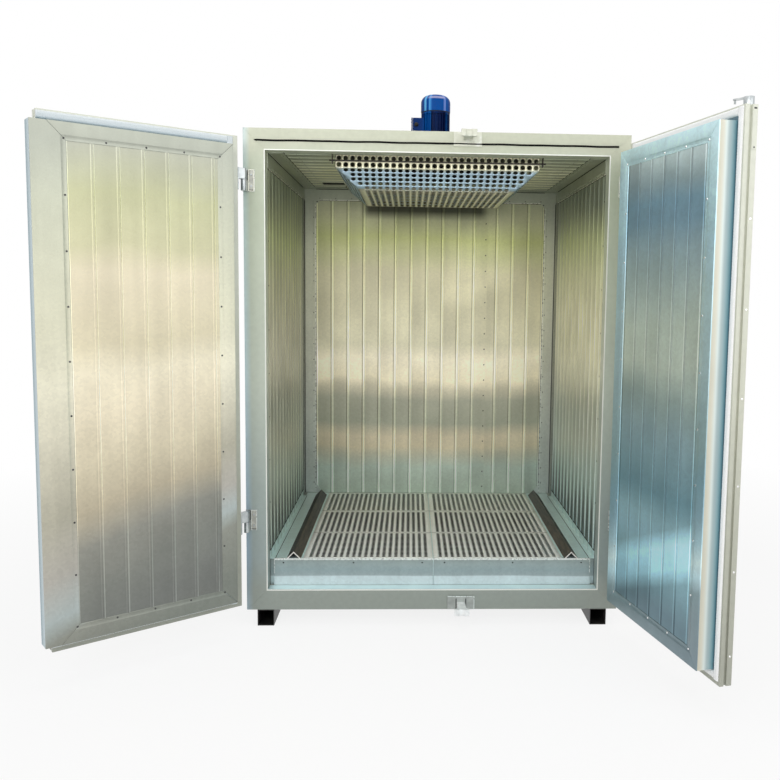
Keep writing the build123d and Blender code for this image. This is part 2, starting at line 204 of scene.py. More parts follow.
def blend(mat, a, b, factor, way="MIX"):
    """Colour a carried towards colour b, or multiplied by it, as far as factor says."""
    made = node(mat, "Mix", {"Factor": factor}, data_type="RGBA", blend_type=way)
    mat.node_tree.links.new(a, made.inputs["A"])
    made.inputs["B"].default_value = (*b, 1)
    return made.outputs["Result"]


def clouded(mat, tone, where, scale, detail, dark, light):
    """A tone made darker and lighter in soft patches."""
    return times(mat, tone, span(mat, noise(mat, where, scale, detail), 0.3, 0.7, dark, light))


def bump(mat, shader, height, distance, strength=1.0):
    values = {"Height": height, "Distance": distance * MM, "Strength": strength}
    mat.node_tree.links.new(node(mat, "Bump", values).outputs["Normal"], shader.inputs["Normal"])


def colour(mat, shader, socket):
    mat.node_tree.links.new(socket, shader.inputs["Base Color"])


def coated(name, low, high, stops, drift, painted_sheen_to=None):
    """Satin powder coat whose tone changes a little with height: painted light and shade, darker towards the
    bottom.

    Left of the X given last it turns bluish: a painted reflection of the sky on a folded edge."""
    mat, shader, place = finish_of(name, 0.08, 0.34, Coat_Weight=0.12, Coat_Roughness=0.18)
    level = node(mat, "SeparateXYZ", {"Vector": place}).outputs["Z"]
    level = sum_of(mat, level, span(mat, noise(mat, place, 1.7, 3), 0.25, 0.75, -drift, drift))
    tone = ramp(mat, span(mat, level, low, high), stops)
    if painted_sheen_to is not None:
        across = node(mat, "SeparateXYZ", {"Vector": place}).outputs["X"]
        sheen = span(mat, across, painted_sheen_to - PAINTED_SHEEN_WIDTH, painted_sheen_to, 1, 0)
        tone = blend(mat, tone, PAINTED_SHEEN_TINT, sheen, "MULTIPLY")
    colour(mat, shader, clouded(mat, tone, place, 40, 4, 0.96, 1.03))
    bump(mat, shader, noise(mat, place, 520, 2), 0.05)
    dullness = span(mat, noise(mat, place, 9, 3), 0.3, 0.7, 0.28, 0.42)
    mat.node_tree.links.new(dullness, shader.inputs["Roughness"])
    return mat


# The cabinet coat is painted darker towards the bottom, as shade.
coat = coated("cabinet coat", 0.1, 2.4, [(0.0, (0.42, 0.46, 0.40)), (1.0, (0.52, 0.55, 0.45))], 0.15)

low, high = limits("left_wall")
outer_x, wall_y, wall_z = -low.x, (low.y, high.y), (low.z, high.z)
half = -high.x
rib_ys = spaced(wall_y[0] + FIRST_RIB, wall_y[1] - LAST_RIB, RIB_PITCH)
for side, name in ((-1, "left_wall"), (1, "right_wall")):
    bm = bmesh.new()
    face = [(side * (outer_x - FLASHING - x), y) for y, x in ribbed(*wall_y, rib_ys, 0, SKIN_RISE)]
    prism(bm, face + [(side * half, wall_y[1]), (side * half, wall_y[0])], 2, *wall_z)
    piece(name + "_panel", bm, "cabinet", coat, [name])
low, high = limits("back_wall")
back_y = high.y
rib_xs = spaced(-outer_x + FIRST_RIB, outer_x - FIRST_RIB, RIB_PITCH)
bm = bmesh.new()
core_x = outer_x - FLASHING
face = [(x, back_y - FLASHING - y) for x, y in ribbed(-core_x, core_x, rib_xs, 0, SKIN_RISE)]
prism(bm, face + [(core_x, low.y), (-core_x, low.y)], 2, low.z, high.z)
piece("back_wall_panel", bm, "cabinet", coat, ["back_wall"])
low, high = limits("roof_panel")
roof_z, lintel = high.z, low.z
bm = bmesh.new()
face = [(x, roof_z - FLASHING - z) for x, z in ribbed(-core_x, core_x, rib_xs, 0, SKIN_RISE)]
prism(bm, face + [(core_x, lintel), (-core_x, lintel)], 1, low.y, high.y - FLASHING)
piece("roof_panel_top", bm, "cabinet", coat, ["roof_panel"])
dress(frame["nodes"]["floor_panel"], coat, 2, weld=True)

# Outside corner flashings: coated angles that cover the panels' cut edges.
# They are pop-riveted through the skins about every 150 mm.
FLASHING_LEG = 45
RIVET_IN = 14
RIVET_STEP = 150
RIVET_R = 4.5
RIVET_H = 1.4
HEAD_SIDES = 8


def round_form(bm, profile, base, way, sides=24):
    """A turned form: profile is (radius, height) pairs from its foot, closed at both ends."""
    towards = Vector(way).normalized()
    across = towards.orthogonal().normalized()
    beside = towards.cross(across)
    rings = []
    for radius, height in profile:
        ring = []
        for step in range(sides):
            angle = math.tau * (step + 0.5) / sides
            reach = across * math.cos(angle) + beside * math.sin(angle)
            ring.append(bm.verts.new((Vector(base) + towards * height + reach * radius) * MM))
        rings.append(ring)
    for near, far in zip(rings, rings[1:]):
        for i in range(sides):
            j = (i + 1) % sides
            bm.faces.new((near[i], near[j], far[j], far[i]))
    bm.faces.new(rings[0])
    bm.faces.new(rings[-1])


def heads(bm, points, way, radius=RIVET_R, height=RIVET_H):
    """Low domed heads of rivets or screws."""
    dome = [(radius, 0), (radius * 0.8, height * 0.7), (radius * 0.35, height)]
    for point in points:
        round_form(bm, dome, point, way, HEAD_SIDES)


def folded(bm, axis, corner, ways, profile, low, high):
    """A folded strip along an axis; its profile runs from a corner along two ways."""
    (a, b), (way_a, way_b) = corner, ways
    prism(bm, [(a + way_a * p, b + way_b * q) for p, q in profile], axis, low, high)


def mottled(name, metallic, roughness, scale, dark, light, detail=2, rough=0.5, marks=(0.3, 0.7), **sockets):
    """A finish that wanders between two tones; gives the material, its shader and its coordinates."""
    mat, shader, place = finish_of(name, metallic, roughness, **sockets)
    cloud = noise(mat, place, scale, detail, rough)
    colour(mat, shader, ramp(mat, cloud, [(marks[0], dark), (marks[1], light)]))
    return mat, shader, place


zinc, shader, place = mottled("zinc plating", 0.85, 0.32, 26, (0.42, 0.45, 0.46), (0.62, 0.65, 0.65), 3,
                              marks=(0.35, 0.65))
bump(zinc, shader, noise(zinc, place, 300, 3), 0.08)
# Near-black screw heads are zinc in painted shade.
zinc_in_painted_shade = mottled("screw heads in painted shade", 0.6, 0.45, 60, (0.03,) * 3, (0.09,) * 3)[0]
bm = bmesh.new()
rivets = bmesh.new()
leg = FLASHING_LEG
flashing_fold = [(0, 0), (0, leg), (FLASHING, leg), (FLASHING, FLASHING), (leg, FLASHING), (leg, 0)]
sunk, centre = FLASHING - 0.1, leg - RIVET_IN
front_y = limits("roof_panel")[0].y
ups = spaced(wall_z[0] + 60, roof_z - 100, RIVET_STEP)
runs = spaced(front_y + 60, back_y - 100, RIVET_STEP)
for side in (-1, 1):
    edge = side * outer_x
    folded(bm, 2, (edge, back_y), (-side, -1), flashing_fold, wall_z[0], roof_z - leg - 1)
    folded(bm, 1, (edge, roof_z), (-side, -1), flashing_fold, front_y, back_y - leg - 1)
    heads(rivets, [(edge - side * sunk, back_y - centre, z) for z in ups], (side, 0, 0))
    heads(rivets, [(edge - side * centre, back_y - sunk, z) for z in ups], (0, 1, 0))
    heads(rivets, [(edge - side * sunk, y, roof_z - centre) for y in runs], (side, 0, 0))
    heads(rivets, [(edge - side * centre, y, roof_z - sunk) for y in runs], (0, 0, 1))
folded(bm, 0, (back_y, roof_z), (-1, -1), flashing_fold, -outer_x, outer_x)
heads(rivets, [(x, back_y - sunk, roof_z - centre) for x in spaced(-825, 825, RIVET_STEP)], (0, 1, 0))
piece("outside_flashings", bm, "cabinet", coat, bevel=0.5)
piece("flashing_rivets", rivets, "cabinet", zinc)

# Inner lining: bare galvanised sheet with a raised rib every 100 mm, upright on the walls.
# The back is two sheets with a lapped joint right of the middle; the ceiling's ribs run across.
LINING_FLAT = 0.8
LINING_RISE = 2.4
TRIM_GAP = 3
DOOR_CLEAR = 3
BACK_JOINT_X = 343
JOINT_LAP = 21
BACK_RIB_X = -621.5
BACK_RIB_NEXT = 424.5
CEILING_SEAM_X = 668
CHAMBER_Y = (0.0, 1.4)
CHAMBER_Z = (0.31, 2.26)
SPANGLE = 95.0
STREAK = 0.8
RIB_LIGHT_GAIN = 1.8
trim_leg = limits("chamber_trim")[1].z - (limits("back_wall")[1].z - 75)
back_in = wall_y[1]
deck = limits("deck_fascia_left")[1].z
first_rib_y = wall_y[0] + 45


def slab(bm, x, y, z):
    """A box between its limits along each axis."""
    corners = [bm.verts.new((a * MM, b * MM, c * MM)) for a in x for b in y for c in z]
    for quad in ((0, 1, 3, 2), (4, 6, 7, 5), (0, 4, 5, 1), (2, 3, 7, 6), (0, 2, 6, 4), (1, 5, 7, 3)):
        bm.faces.new([corners[i] for i in quad])


def on_side(side, near, far):
    """The limits along X of what lies between two distances from the middle, on one side."""
    return sorted((side * near, side * far))


def product(mat, a, b):
    return node(mat, "Math", {0: a, 1: b}, operation="MULTIPLY").outputs["Value"]


def within(mat, value, low, high, soft):
    """1 between two limits and 0 outside them, with soft edges."""
    rising = span(mat, value, low - soft, low + soft)
    return product(mat, rising, span(mat, value, high - soft, high + soft, 1, 0))


def galvanised(name, axis, low, high, stops, metallic=0.5, roughness=0.34, drift=0.03, lean=0,
               ribs=None, rib_painted_light=(), own=0.05, feet=None, painted_light_boxes=(), arc=None):
    """Galvanised sheet: bands of painted reflection and shade along one axis, a fine spangle, faint rolling
    streaks.

    low and high are where the stops begin and end, in metres, and lean tips the lower bands along X.
    ribs is the axis across the ribs and one rib's middle: from there each flat takes its own tone, within
    own, and the rib look is the run of painted highlight and shade from one rib to the next. feet is where
    dark streaks start between the ribs, how high they climb and how dark they are. Each painted light box is
    a soft-edged box in X and Z with its gain, painted shade below 1 and painted highlight above 1; arc is a
    painted highlight band that crosses the ribs aslant."""
    mat, shader, place = finish_of(name, metallic, roughness)
    parts = node(mat, "SeparateXYZ", {"Vector": place}).outputs
    level = sum_of(mat, parts[axis], span(mat, noise(mat, place, 1.6, 2), 0.25, 0.75, -drift, drift))
    if lean:
        fade = span(mat, parts["Z"], 0.6, 1.6, lean, 0)
        level = sum_of(mat, level, product(mat, parts["X"], fade))
    if ribs:
        count = product(mat, sum_of(mat, parts[ribs[0]], -ribs[1] * MM), 1 / (RIB_PITCH * MM))
        flat = node(mat, "Math", {0: count}, operation="FLOOR").outputs["Value"]
        spot = node(mat, "CombineXYZ", {"X": product(mat, flat, 3.7), "Z": product(mat, parts[axis], 2.6)})
        patch = noise(mat, spot.outputs["Vector"], 1, 1)
        level = sum_of(mat, level, span(mat, patch, 0.3, 0.7, -0.02, 0.02))
    tone = ramp(mat, span(mat, level, low, high), stops)
    flake = node(mat, "TexVoronoi", {"Vector": place, "Scale": SPANGLE}).outputs["Color"]
    flake = node(mat, "SeparateColor", {"Color": flake}).outputs["Red"]
    tone = times(mat, tone, span(mat, flake, 0, 1, 0.95, 1.045))
    tone = clouded(mat, tone, place, 5.5, 4, 0.95, 1.04)
    stretch = [STREAK if letter == axis else 14 for letter in "XYZ"]
    rolled = node(mat, "Mapping", {"Vector": place, "Scale": stretch}).outputs["Vector"]
    tone = clouded(mat, tone, rolled, 1, 3, 0.93, 1.05)
    if ribs:
        share = node(mat, "Math", {0: count}, operation="FRACT").outputs["Value"]
        line = ramp(mat, share, [(place_at, (grey,) * 3) for place_at, grey in rib_painted_light])
        tone = times(mat, tone, span(mat, patch, 0.3, 0.7, 1 - own, 1 + own))
        tone = times(mat, tone, span(mat, line, 0, 1, 0, RIB_LIGHT_GAIN))
    if feet:
        start, climb, dark = feet
        aside = node(mat, "Math", {0: sum_of(mat, share, -0.5)}, operation="ABSOLUTE").outputs["Value"]
        reach = sum_of(mat, product(mat, aside, 2), span(mat, parts["Z"], start, start + climb))
        tone = times(mat, tone, span(mat, reach, 0.65, 1.15, dark, 1))
    for x0, x1, z0, z1, soft, gain in painted_light_boxes:
        mask = product(mat, within(mat, parts["X"], x0, x1, soft), within(mat, parts["Z"], z0, z1, soft))
        tone = times(mat, tone, span(mat, mask, 0, 1, 1, gain))
    if arc:
        start, slope, half_width, gain = arc
        line_z = sum_of(mat, product(mat, parts["X"], slope), start)
        off = node(mat, "Math", {0: parts["Z"], 1: line_z}, operation="SUBTRACT").outputs["Value"]
        off = node(mat, "Math", {0: off}, operation="ABSOLUTE").outputs["Value"]
        tone = times(mat, tone, span(mat, off, half_width * 0.4, half_width, gain, 1))
    colour(mat, shader, tone)
    dullness = span(mat, flake, 0, 1, roughness - 0.05, roughness + 0.07)
    mat.node_tree.links.new(dullness, shader.inputs["Roughness"])
    bump(mat, shader, noise(mat, place, 6, 2), 2.2, 0.6)
    return mat


# The lining's tone bands are painted reflections and shade; the rib runs paint a highlight and a shade line
# at each rib.
back_tones = [
    (0.09, (0.59, 0.70, 0.60)), (0.13, (0.62, 0.62, 0.48)), (0.16, (0.74, 0.66, 0.46)),
    (0.195, (0.70, 0.62, 0.44)), (0.24, (0.40, 0.41, 0.31)), (0.32, (0.42, 0.42, 0.32)),
    (0.36, (0.66, 0.61, 0.45)), (0.39, (0.98, 0.89, 0.64)), (0.455, (1.0, 0.92, 0.69)),
    (0.505, (0.74, 0.70, 0.50)), (0.73, (0.64, 0.60, 0.40)), (0.79, (0.54, 0.54, 0.30)),
    (0.84, (0.48, 0.50, 0.22)), (0.91, (0.485, 0.485, 0.30)), (1.0, (0.405, 0.425, 0.30))]
back_rib_painted_light = [(0.0, 1.0), (0.075, 0.98), (0.1, 0.53), (0.5, 0.55), (0.88, 0.58), (0.9, 0.24), (0.92, 0.24),
             (0.935, 0.95)]
# A dark box paints the shade under the guard; the further boxes on the back lining are painted highlights.
guard_shade = [(-0.42, 0.345, 2.098, 2.4, 0.028, 0.2)]
back_sheet = galvanised(
    "galvanised back lining", "Z", *CHAMBER_Z, back_tones, drift=0.035, ribs=("X", BACK_RIB_X),
    rib_painted_light=back_rib_painted_light, own=0.14, painted_light_boxes=guard_shade + [(0.12, 0.36, 1.58, 2.0, 0.07, 1.3)])
back_sheet_next = galvanised(
    "galvanised back lining right", "Z", *CHAMBER_Z, back_tones, drift=0.035, ribs=("X", BACK_RIB_NEXT),
    rib_painted_light=back_rib_painted_light, own=0.14, painted_light_boxes=guard_shade + [(0.3, 0.52, 1.68, 2.05, 0.07, 1.35)])
# Side walls and ceiling: bands of painted reflection and shade, darker towards the top.
wall_rib_painted_light = [(0.0, 0.25), (0.05, 0.25), (0.08, 0.5), (0.5, 0.53), (0.86, 0.6), (0.91, 0.6), (0.93, 0.92),
             (0.98, 0.85)]
left_wall_sheet = galvanised("galvanised left wall lining", "Z", *CHAMBER_Z, [
    (0.0, (0.46, 0.56, 0.52)), (0.12, (0.53, 0.58, 0.50)), (0.25, (0.54, 0.56, 0.47)),
    (0.38, (0.48, 0.48, 0.40)), (0.55, (0.58, 0.56, 0.46)), (0.68, (0.57, 0.57, 0.41)),
    (0.8, (0.54, 0.57, 0.345)), (0.88, (0.39, 0.41, 0.27)), (1.0, (0.31, 0.34, 0.25))],
    ribs=("Y", first_rib_y), rib_painted_light=wall_rib_painted_light, own=0.14, feet=(0.3, 0.36, 0.25))
right_wall_sheet = galvanised("galvanised right wall lining", "Z", *CHAMBER_Z, [
    (0.0, (0.58, 0.76, 0.78)), (0.12, (0.58, 0.72, 0.68)), (0.25, (0.60, 0.68, 0.62)),
    (0.38, (0.66, 0.68, 0.57)), (0.5, (0.86, 0.85, 0.65)), (0.6, (0.94, 0.92, 0.70)),
    (0.72, (0.80, 0.81, 0.56)), (0.82, (0.62, 0.66, 0.42)), (0.9, (0.34, 0.37, 0.28)),
    (1.0, (0.26, 0.29, 0.23))],
    ribs=("Y", first_rib_y), rib_painted_light=wall_rib_painted_light, own=0.12, feet=(0.3, 0.4, 0.22))
ceiling_rib_painted_light = [(0.0, 0.12), (0.05, 0.12), (0.08, 0.4), (0.5, 0.52), (0.8, 0.72), (0.9, 0.8), (0.93, 1.0),
                (0.98, 1.0)]
ceiling_sheet = galvanised("galvanised ceiling", "Y", *CHAMBER_Y, [
    (0.0, (0.36, 0.40, 0.33)), (0.4, (0.60, 0.60, 0.46)), (1.0, (0.50, 0.51, 0.40))],
    ribs=("Y", first_rib_y), rib_painted_light=ceiling_rib_painted_light, own=0.1)
wall_span = (deck + 2, lintel - trim_leg - TRIM_GAP)
side_span = (limits("frame_sill")[1].z + 1, wall_span[1])
for side, name, sheet_finish in ((-1, "left", left_wall_sheet), (1, "right", right_wall_sheet)):
    bm = bmesh.new()
    start, stop = wall_y[0] + DOOR_CLEAR, back_in - trim_leg - TRIM_GAP
    ys = spaced(first_rib_y, stop - 20, RIB_PITCH)
    face = [(side * (half - x), y) for y, x in ribbed(start, stop, ys, LINING_FLAT, LINING_RISE)]
    prism(bm, face + [(side * half, stop), (side * half, start)], 2, *side_span)
    piece(name + "_lining", bm, "cabinet", sheet_finish, smooth=12)
side_in = half - trim_leg - TRIM_GAP
for name, start, stop, first_rib, sheet_finish in (
        ("back_lining_left", -side_in, BACK_JOINT_X, BACK_RIB_X, back_sheet),
        ("back_lining_right", BACK_JOINT_X + 1.5, side_in, BACK_RIB_NEXT, back_sheet_next)):
    bm = bmesh.new()
    xs = spaced(first_rib, stop - 20, RIB_PITCH)
    face = [(x, back_in - y) for x, y in ribbed(start, stop, xs, LINING_FLAT, LINING_RISE)]
    prism(bm, face + [(stop, back_in), (start, back_in)], 2, *wall_span)
    if name == "back_lining_left":
        slab(bm, (BACK_JOINT_X - 1, BACK_JOINT_X + JOINT_LAP), (back_in - 2.2, back_in), wall_span)
    piece(name, bm, "cabinet", sheet_finish, smooth=12)
bm = bmesh.new()
ys = spaced(first_rib_y, back_in - trim_leg - 20, RIB_PITCH)
for start, stop in ((-side_in, -CEILING_SEAM_X - 1), (-CEILING_SEAM_X + 1, CEILING_SEAM_X - 1),
                    (CEILING_SEAM_X + 1, side_in)):
    ends = (wall_y[0] + DOOR_CLEAR, back_in - trim_leg - TRIM_GAP)
    face = [(y, lintel - z) for y, z in ribbed(*ends, ys, LINING_FLAT, LINING_RISE)]
    prism(bm, face + [(ends[1], lintel), (ends[0], lintel)], 0, start, stop)
piece("ceiling_lining", bm, "cabinet", ceiling_sheet, smooth=12)

# Chamber trims: folded galvanised angles over the lining's edges, along the ceiling and down the corners.
# Small corner pieces cover their joints; self-tapping screws hold them every 100 mm.
TRIM_RISE = 4
HEM = 14
SCREW_IN = 15
SCREW_STEP = 100
CORNER_BIT = 34
FOOT_BIT = (38, 62)
JOINT_W = 3.5
# The trims' side legs are darkened as painted shade, and their tone bands are painted reflections.
trim_sheet = galvanised("galvanised trim", "Z", *CHAMBER_Z, [
    (0.0, (0.56, 0.62, 0.58)), (0.4, (0.60, 0.61, 0.51)), (0.75, (0.58, 0.58, 0.44)),
    (1.0, (0.40, 0.43, 0.34))],
    painted_light_boxes=[(-0.83, -0.7935, 0, 2.19, 0.0015, 0.5), (0.7935, 0.83, 0, 2.19, 0.0015, 0.6)])
black_and_painted_shade = mottled("black, and painted shade in gaps", 0.0, 0.8, 30, (0.009, 0.010, 0.009), (0.015, 0.016, 0.015))[0]
inset = trim_leg
rise = TRIM_RISE
front_in = wall_y[0] + DOOR_CLEAR
hem_z, bend = rise - 1.2, inset - HEM - 2
stepped = [(0, 0), (inset, 0), (inset, hem_z), (inset - HEM, hem_z), (bend, rise), (rise, rise),
           (rise, bend), (hem_z, inset - HEM), (hem_z, inset), (0, inset)]
cap, lip = rise + 0.6, inset + 1
bm = bmesh.new()
for side in (-1, 1):
    folded(bm, 1, (side * half, lintel), (-side, -1), stepped, front_in, back_in - inset)
    folded(bm, 2, (side * half, back_in), (-side, -1), stepped, deck + 2, lintel - inset)
    lip_y = (back_in - lip, back_in - cap)
    slab(bm, on_side(side, half, half - lip), (back_in - cap, back_in), (lintel - lip, lintel))
    slab(bm, on_side(side, half, half - cap), lip_y, (lintel - lip, lintel))
    slab(bm, on_side(side, half - cap, half - lip), lip_y, (lintel - cap, lintel))
folded(bm, 0, (back_in, lintel), (-1, -1), stepped, -half + inset, half - inset)
for side in (-1, 1):
    x, z = side * (half - inset + 4), lintel - inset + 4
    prism(bm, [(x, z), (x - side * CORNER_BIT, z), (x, z - CORNER_BIT)],
          1, back_in - rise - 1.2, back_in - rise + 1.5)
    x, z = side * (half - inset), deck + 3
    prism(bm, [(x, z), (x - side * FOOT_BIT[0], z), (x, z + FOOT_BIT[1])], 1, back_in - 5, back_in - 2)
piece("chamber_trims", bm, "cabinet", trim_sheet, ["chamber_trim"], bevel=0.5)
screws = bmesh.new()
ups = spaced(deck + 70, lintel - inset - 40, SCREW_STEP)
overs = spaced(-700, 700, SCREW_STEP)
runs = spaced(wall_y[0] + 90, back_in - 90, SCREW_STEP)
screw_x, screw_y, screw_z = half - inset + SCREW_IN, back_in - inset + SCREW_IN, lintel - inset + SCREW_IN
heads(screws, [(x, back_in - 2.6, z) for z in ups for x in (-screw_x, screw_x)], (0, -1, 0))
heads(screws, [(x, back_in - 2.6, screw_z) for x in overs], (0, -1, 0))
joint_ups = spaced(deck + 45, lintel - inset - 30, SCREW_STEP)
heads(screws, [(BACK_JOINT_X + JOINT_LAP / 2 - 0.5, back_in - 2, z) for z in joint_ups], (0, -1, 0))
front_ups = spaced(deck + 70, 2200, 2.1 * SCREW_STEP)
for side in (-1, 1):
    wall_x = side * (half - 2.6)
    heads(screws, [(wall_x, screw_y, z) for z in ups], (-side, 0, 0))
    heads(screws, [(side * (half - 0.6), wall_y[0] + 18, z) for z in front_ups], (-side, 0, 0))
    heads(screws, [(wall_x, y, screw_z) for y in runs], (-side, 0, 0))
    heads(screws, [(side * screw_x, y, lintel - 2.6) for y in runs], (0, 0, -1))
    heads(screws, [(side * (half - inset - 8), back_in - rise - 1, lintel - inset - 8)], (0, -1, 0))
piece("chamber_screws", screws, "cabinet", zinc_in_painted_shade)
# Dark strips in the gaps round the lining and along the trims' folds are painted shade.
bm = bmesh.new()
gap_y = (back_in - inset - TRIM_GAP, back_in - inset)
gap_z = (lintel - inset - TRIM_GAP, lintel - inset)
for side in (-1, 1):
    wall, gap_x = on_side(side, half, half - 1.2), on_side(side, side_in, half - inset)
    slab(bm, wall, (front_in, back_in - inset), gap_z)
    slab(bm, wall, gap_y, wall_span)
    slab(bm, gap_x, (back_in - 1.2, back_in), wall_span)
    slab(bm, gap_x, (front_in, back_in - inset), (lintel - 1.2, lintel))
slab(bm, (-side_in, side_in), (back_in - 1.2, back_in), gap_z)
slab(bm, (-side_in, side_in), gap_y, (lintel - 1.2, lintel))
fold_y, fold_z = (back_in - rise - 1, back_in - rise), (lintel - rise - JOINT_W, lintel - rise)
for side in (-1, 1):
    slab(bm, on_side(side, half - rise, half - rise - JOINT_W), fold_y, (deck + 4, lintel - inset - 2))
    slab(bm, on_side(side, half - rise, half - rise - 1), (front_in + 2, back_in - inset - 4), fold_z)
slab(bm, (-half + inset + 2, half - inset - 2), fold_y, fold_z)
piece("trim_painted_shade_lines", bm, "cabinet", black_and_painted_shade)

# Turned hems: the trims' edges are folded back on themselves, and the folds are painted bright as a
# highlight.
# They run round the back wall and along the tops of the side walls.
HEM_FOLD = 4
painted_highlight_sheet = galvanised("painted highlight on folds and rims", "Z", 0.2, 2.3, [
    (0.0, (0.66, 0.72, 0.70)), (0.5, (0.88, 0.88, 0.78)), (1.0, (0.80, 0.80, 0.68))], roughness=0.28)
bm = bmesh.new()
hem_y = (back_in - rise, back_in - 1)
hem_z = (lintel - inset, lintel - inset + HEM_FOLD)
slab(bm, (-half + inset, half - inset), hem_y, hem_z)
for side in (-1, 1):
    slab(bm, on_side(side, half - inset, half - inset + HEM_FOLD), hem_y, (deck + 4, lintel - inset))
    slab(bm, on_side(side, half - rise, half - 1), (front_in + 1, back_in - inset - 1), hem_z)
piece("trim_hems", bm, "cabinet", painted_highlight_sheet, bevel=0.5)

# Ceiling port: a small rectangular outlet at the back left, with a folded galvanised rim.
# Behind it a dark sheet is painted shade for the inside of the duct.
PORT_X = (-653, -524)
PORT_Y = (1075, 1185)
PORT_RIM = 9
across = (PORT_X[0] - PORT_RIM, PORT_X[1] + PORT_RIM)
bm = bmesh.new()
for x, y in ((across, (PORT_Y[0] - PORT_RIM, PORT_Y[0])), (across, (PORT_Y[1], PORT_Y[1] + PORT_RIM)),
             ((PORT_X[0] - PORT_RIM, PORT_X[0]), PORT_Y), ((PORT_X[1], PORT_X[1] + PORT_RIM), PORT_Y)):
    slab(bm, x, y, (lintel - 5, lintel))
piece("ceiling_port_rim", bm, "cabinet", ceiling_sheet, bevel=0.5)
bm = bmesh.new()
slab(bm, PORT_X, PORT_Y, (lintel - 3.6, lintel))
piece("ceiling_port_inside", bm, "cabinet", black_and_painted_shade)

# Front frame: four coated channels of folded sheet, painted bright along the doorway's edge as a highlight.
# A galvanised threshold lies behind the sill, and a black bead of sealant runs along the header.
# The frame's tone is painted light and shade, darkest at the sill, with a painted bluish reflection on the
# left stile.
frame_coat = coated("front frame coat", 0.1, 2.4, [
    (0.0, (0.30, 0.335, 0.30)), (0.035, (0.31, 0.345, 0.31)), (0.1, (0.34, 0.40, 0.39)),
    (0.25, (0.38, 0.44, 0.41)), (0.47, (0.55, 0.60, 0.51)), (0.7, (0.53, 0.58, 0.46)),
    (0.85, (0.49, 0.54, 0.41)), (0.93, (0.52, 0.56, 0.43)), (0.955, (0.56, 0.58, 0.45)),
    (1.0, (0.57, 0.59, 0.46))], 0.03, painted_sheen_to=-0.868)
for name in ("frame_left_stile", "frame_right_stile", "frame_header", "frame_sill"):
    dress(frame["nodes"][name], frame_coat, 1.6, 3, weld=True)
# A near-white strip round the doorway is a painted highlight.
doorway_painted_highlight = mottled("painted highlight on the doorway edge", 0.1, 0.3, 5, (0.88, 0.89, 0.82), (0.98, 0.99, 0.94), 3)[0]
EDGE_W = 5
EDGE_RISE = 0.6
sill_top = limits("frame_sill")[1].z
bm = bmesh.new()
for side in (-1, 1):
    slab(bm, on_side(side, half, half + EDGE_W), (-EDGE_RISE, 3), (sill_top - EDGE_W, lintel + EDGE_W))
for level in ((sill_top - EDGE_W, sill_top), (lintel, lintel + EDGE_W)):
    slab(bm, (-half, half), (-EDGE_RISE, 3), level)
piece("doorway_edge", bm, "cabinet", doorway_painted_highlight, bevel=0.5)
bm = bmesh.new()
slab(bm, (-half + 1, half - 1), (4, limits("deck_fascia_left")[0].y - 12), (sill_top - 2, sill_top + 0.8))
# The threshold's pale bluish tone is a painted reflection.
threshold_painted_reflection = mottled("threshold with a painted bluish reflection", 0.3, 0.3, 8, (0.62, 0.78, 0.80), (0.74, 0.90, 0.90), 4)[0]
piece("threshold", bm, "cabinet", threshold_painted_reflection, bevel=0.3)
black_bead, shader, place = mottled("black sealant", 0.0, 0.8, 60, (0.002,) * 3, (0.006,) * 3,
                                    Specular_IOR_Level=0.15)
bump(black_bead, shader, noise(black_bead, place, 120, 2), 0.5)
BEAD_SIDES = 8
BEAD_STEP = 10
BEAD_END = 6
low, high = limits("header_seal")
wide, proud = (high.z - low.z) / 2 - 0.3, high.y - low.y - 0.4
bm = bmesh.new()
rings = []
for x in spaced(low.x + 1, high.x - 1, BEAD_STEP):
    end = min(1, math.sqrt(min(x - low.x, high.x - x) / BEAD_END))
    middle = (low.z + high.z) / 2 + 0.9 * math.sin(x / 37) * math.sin(x / 171)
    ring = []
    for i in range(BEAD_SIDES + 1):
        angle = math.pi * i / BEAD_SIDES
        out, up = proud * end * math.sin(angle) ** 0.7, wide * end * math.cos(angle)
        ring.append(bm.verts.new(Vector((x, high.y - out, middle + up)) * MM))
    rings.append(ring)
for near, far in zip(rings, rings[1:]):
    for i in range(BEAD_SIDES + 1):
        j = (i + 1) % (BEAD_SIDES + 1)
        bm.faces.new((near[i], near[j], far[j], far[i]))
bm.faces.new(rings[0])
bm.faces.new(rings[-1])
piece("header_bead", bm, "cabinet", black_bead, ["header_seal"], smooth=60)

# Skids: two square steel tubes under the floor, open at the ends, in satin black.
# The paint is scuffed and dusty in places.
skid_paint, shader, place = mottled("black skid paint", 0.0, 0.42, 14, (0.012,) * 3, (0.05, 0.045, 0.04),
                                    5, 0.7, (0.45, 0.8))
bump(skid_paint, shader, noise(skid_paint, place, 200, 3), 0.15)
for name in ("left_skid", "right_skid"):
    dress(frame["nodes"][name], skid_paint, 1.5, 2, weld=True)

# Deck: plain galvanised edges and a two-part fascia whose foot kicks out over the sill.
# A skirting covers the joint with the walls, and a dark sheet in the duct below is painted shade.
FASCIA_KICK = 8.5
FASCIA_BEND = 56
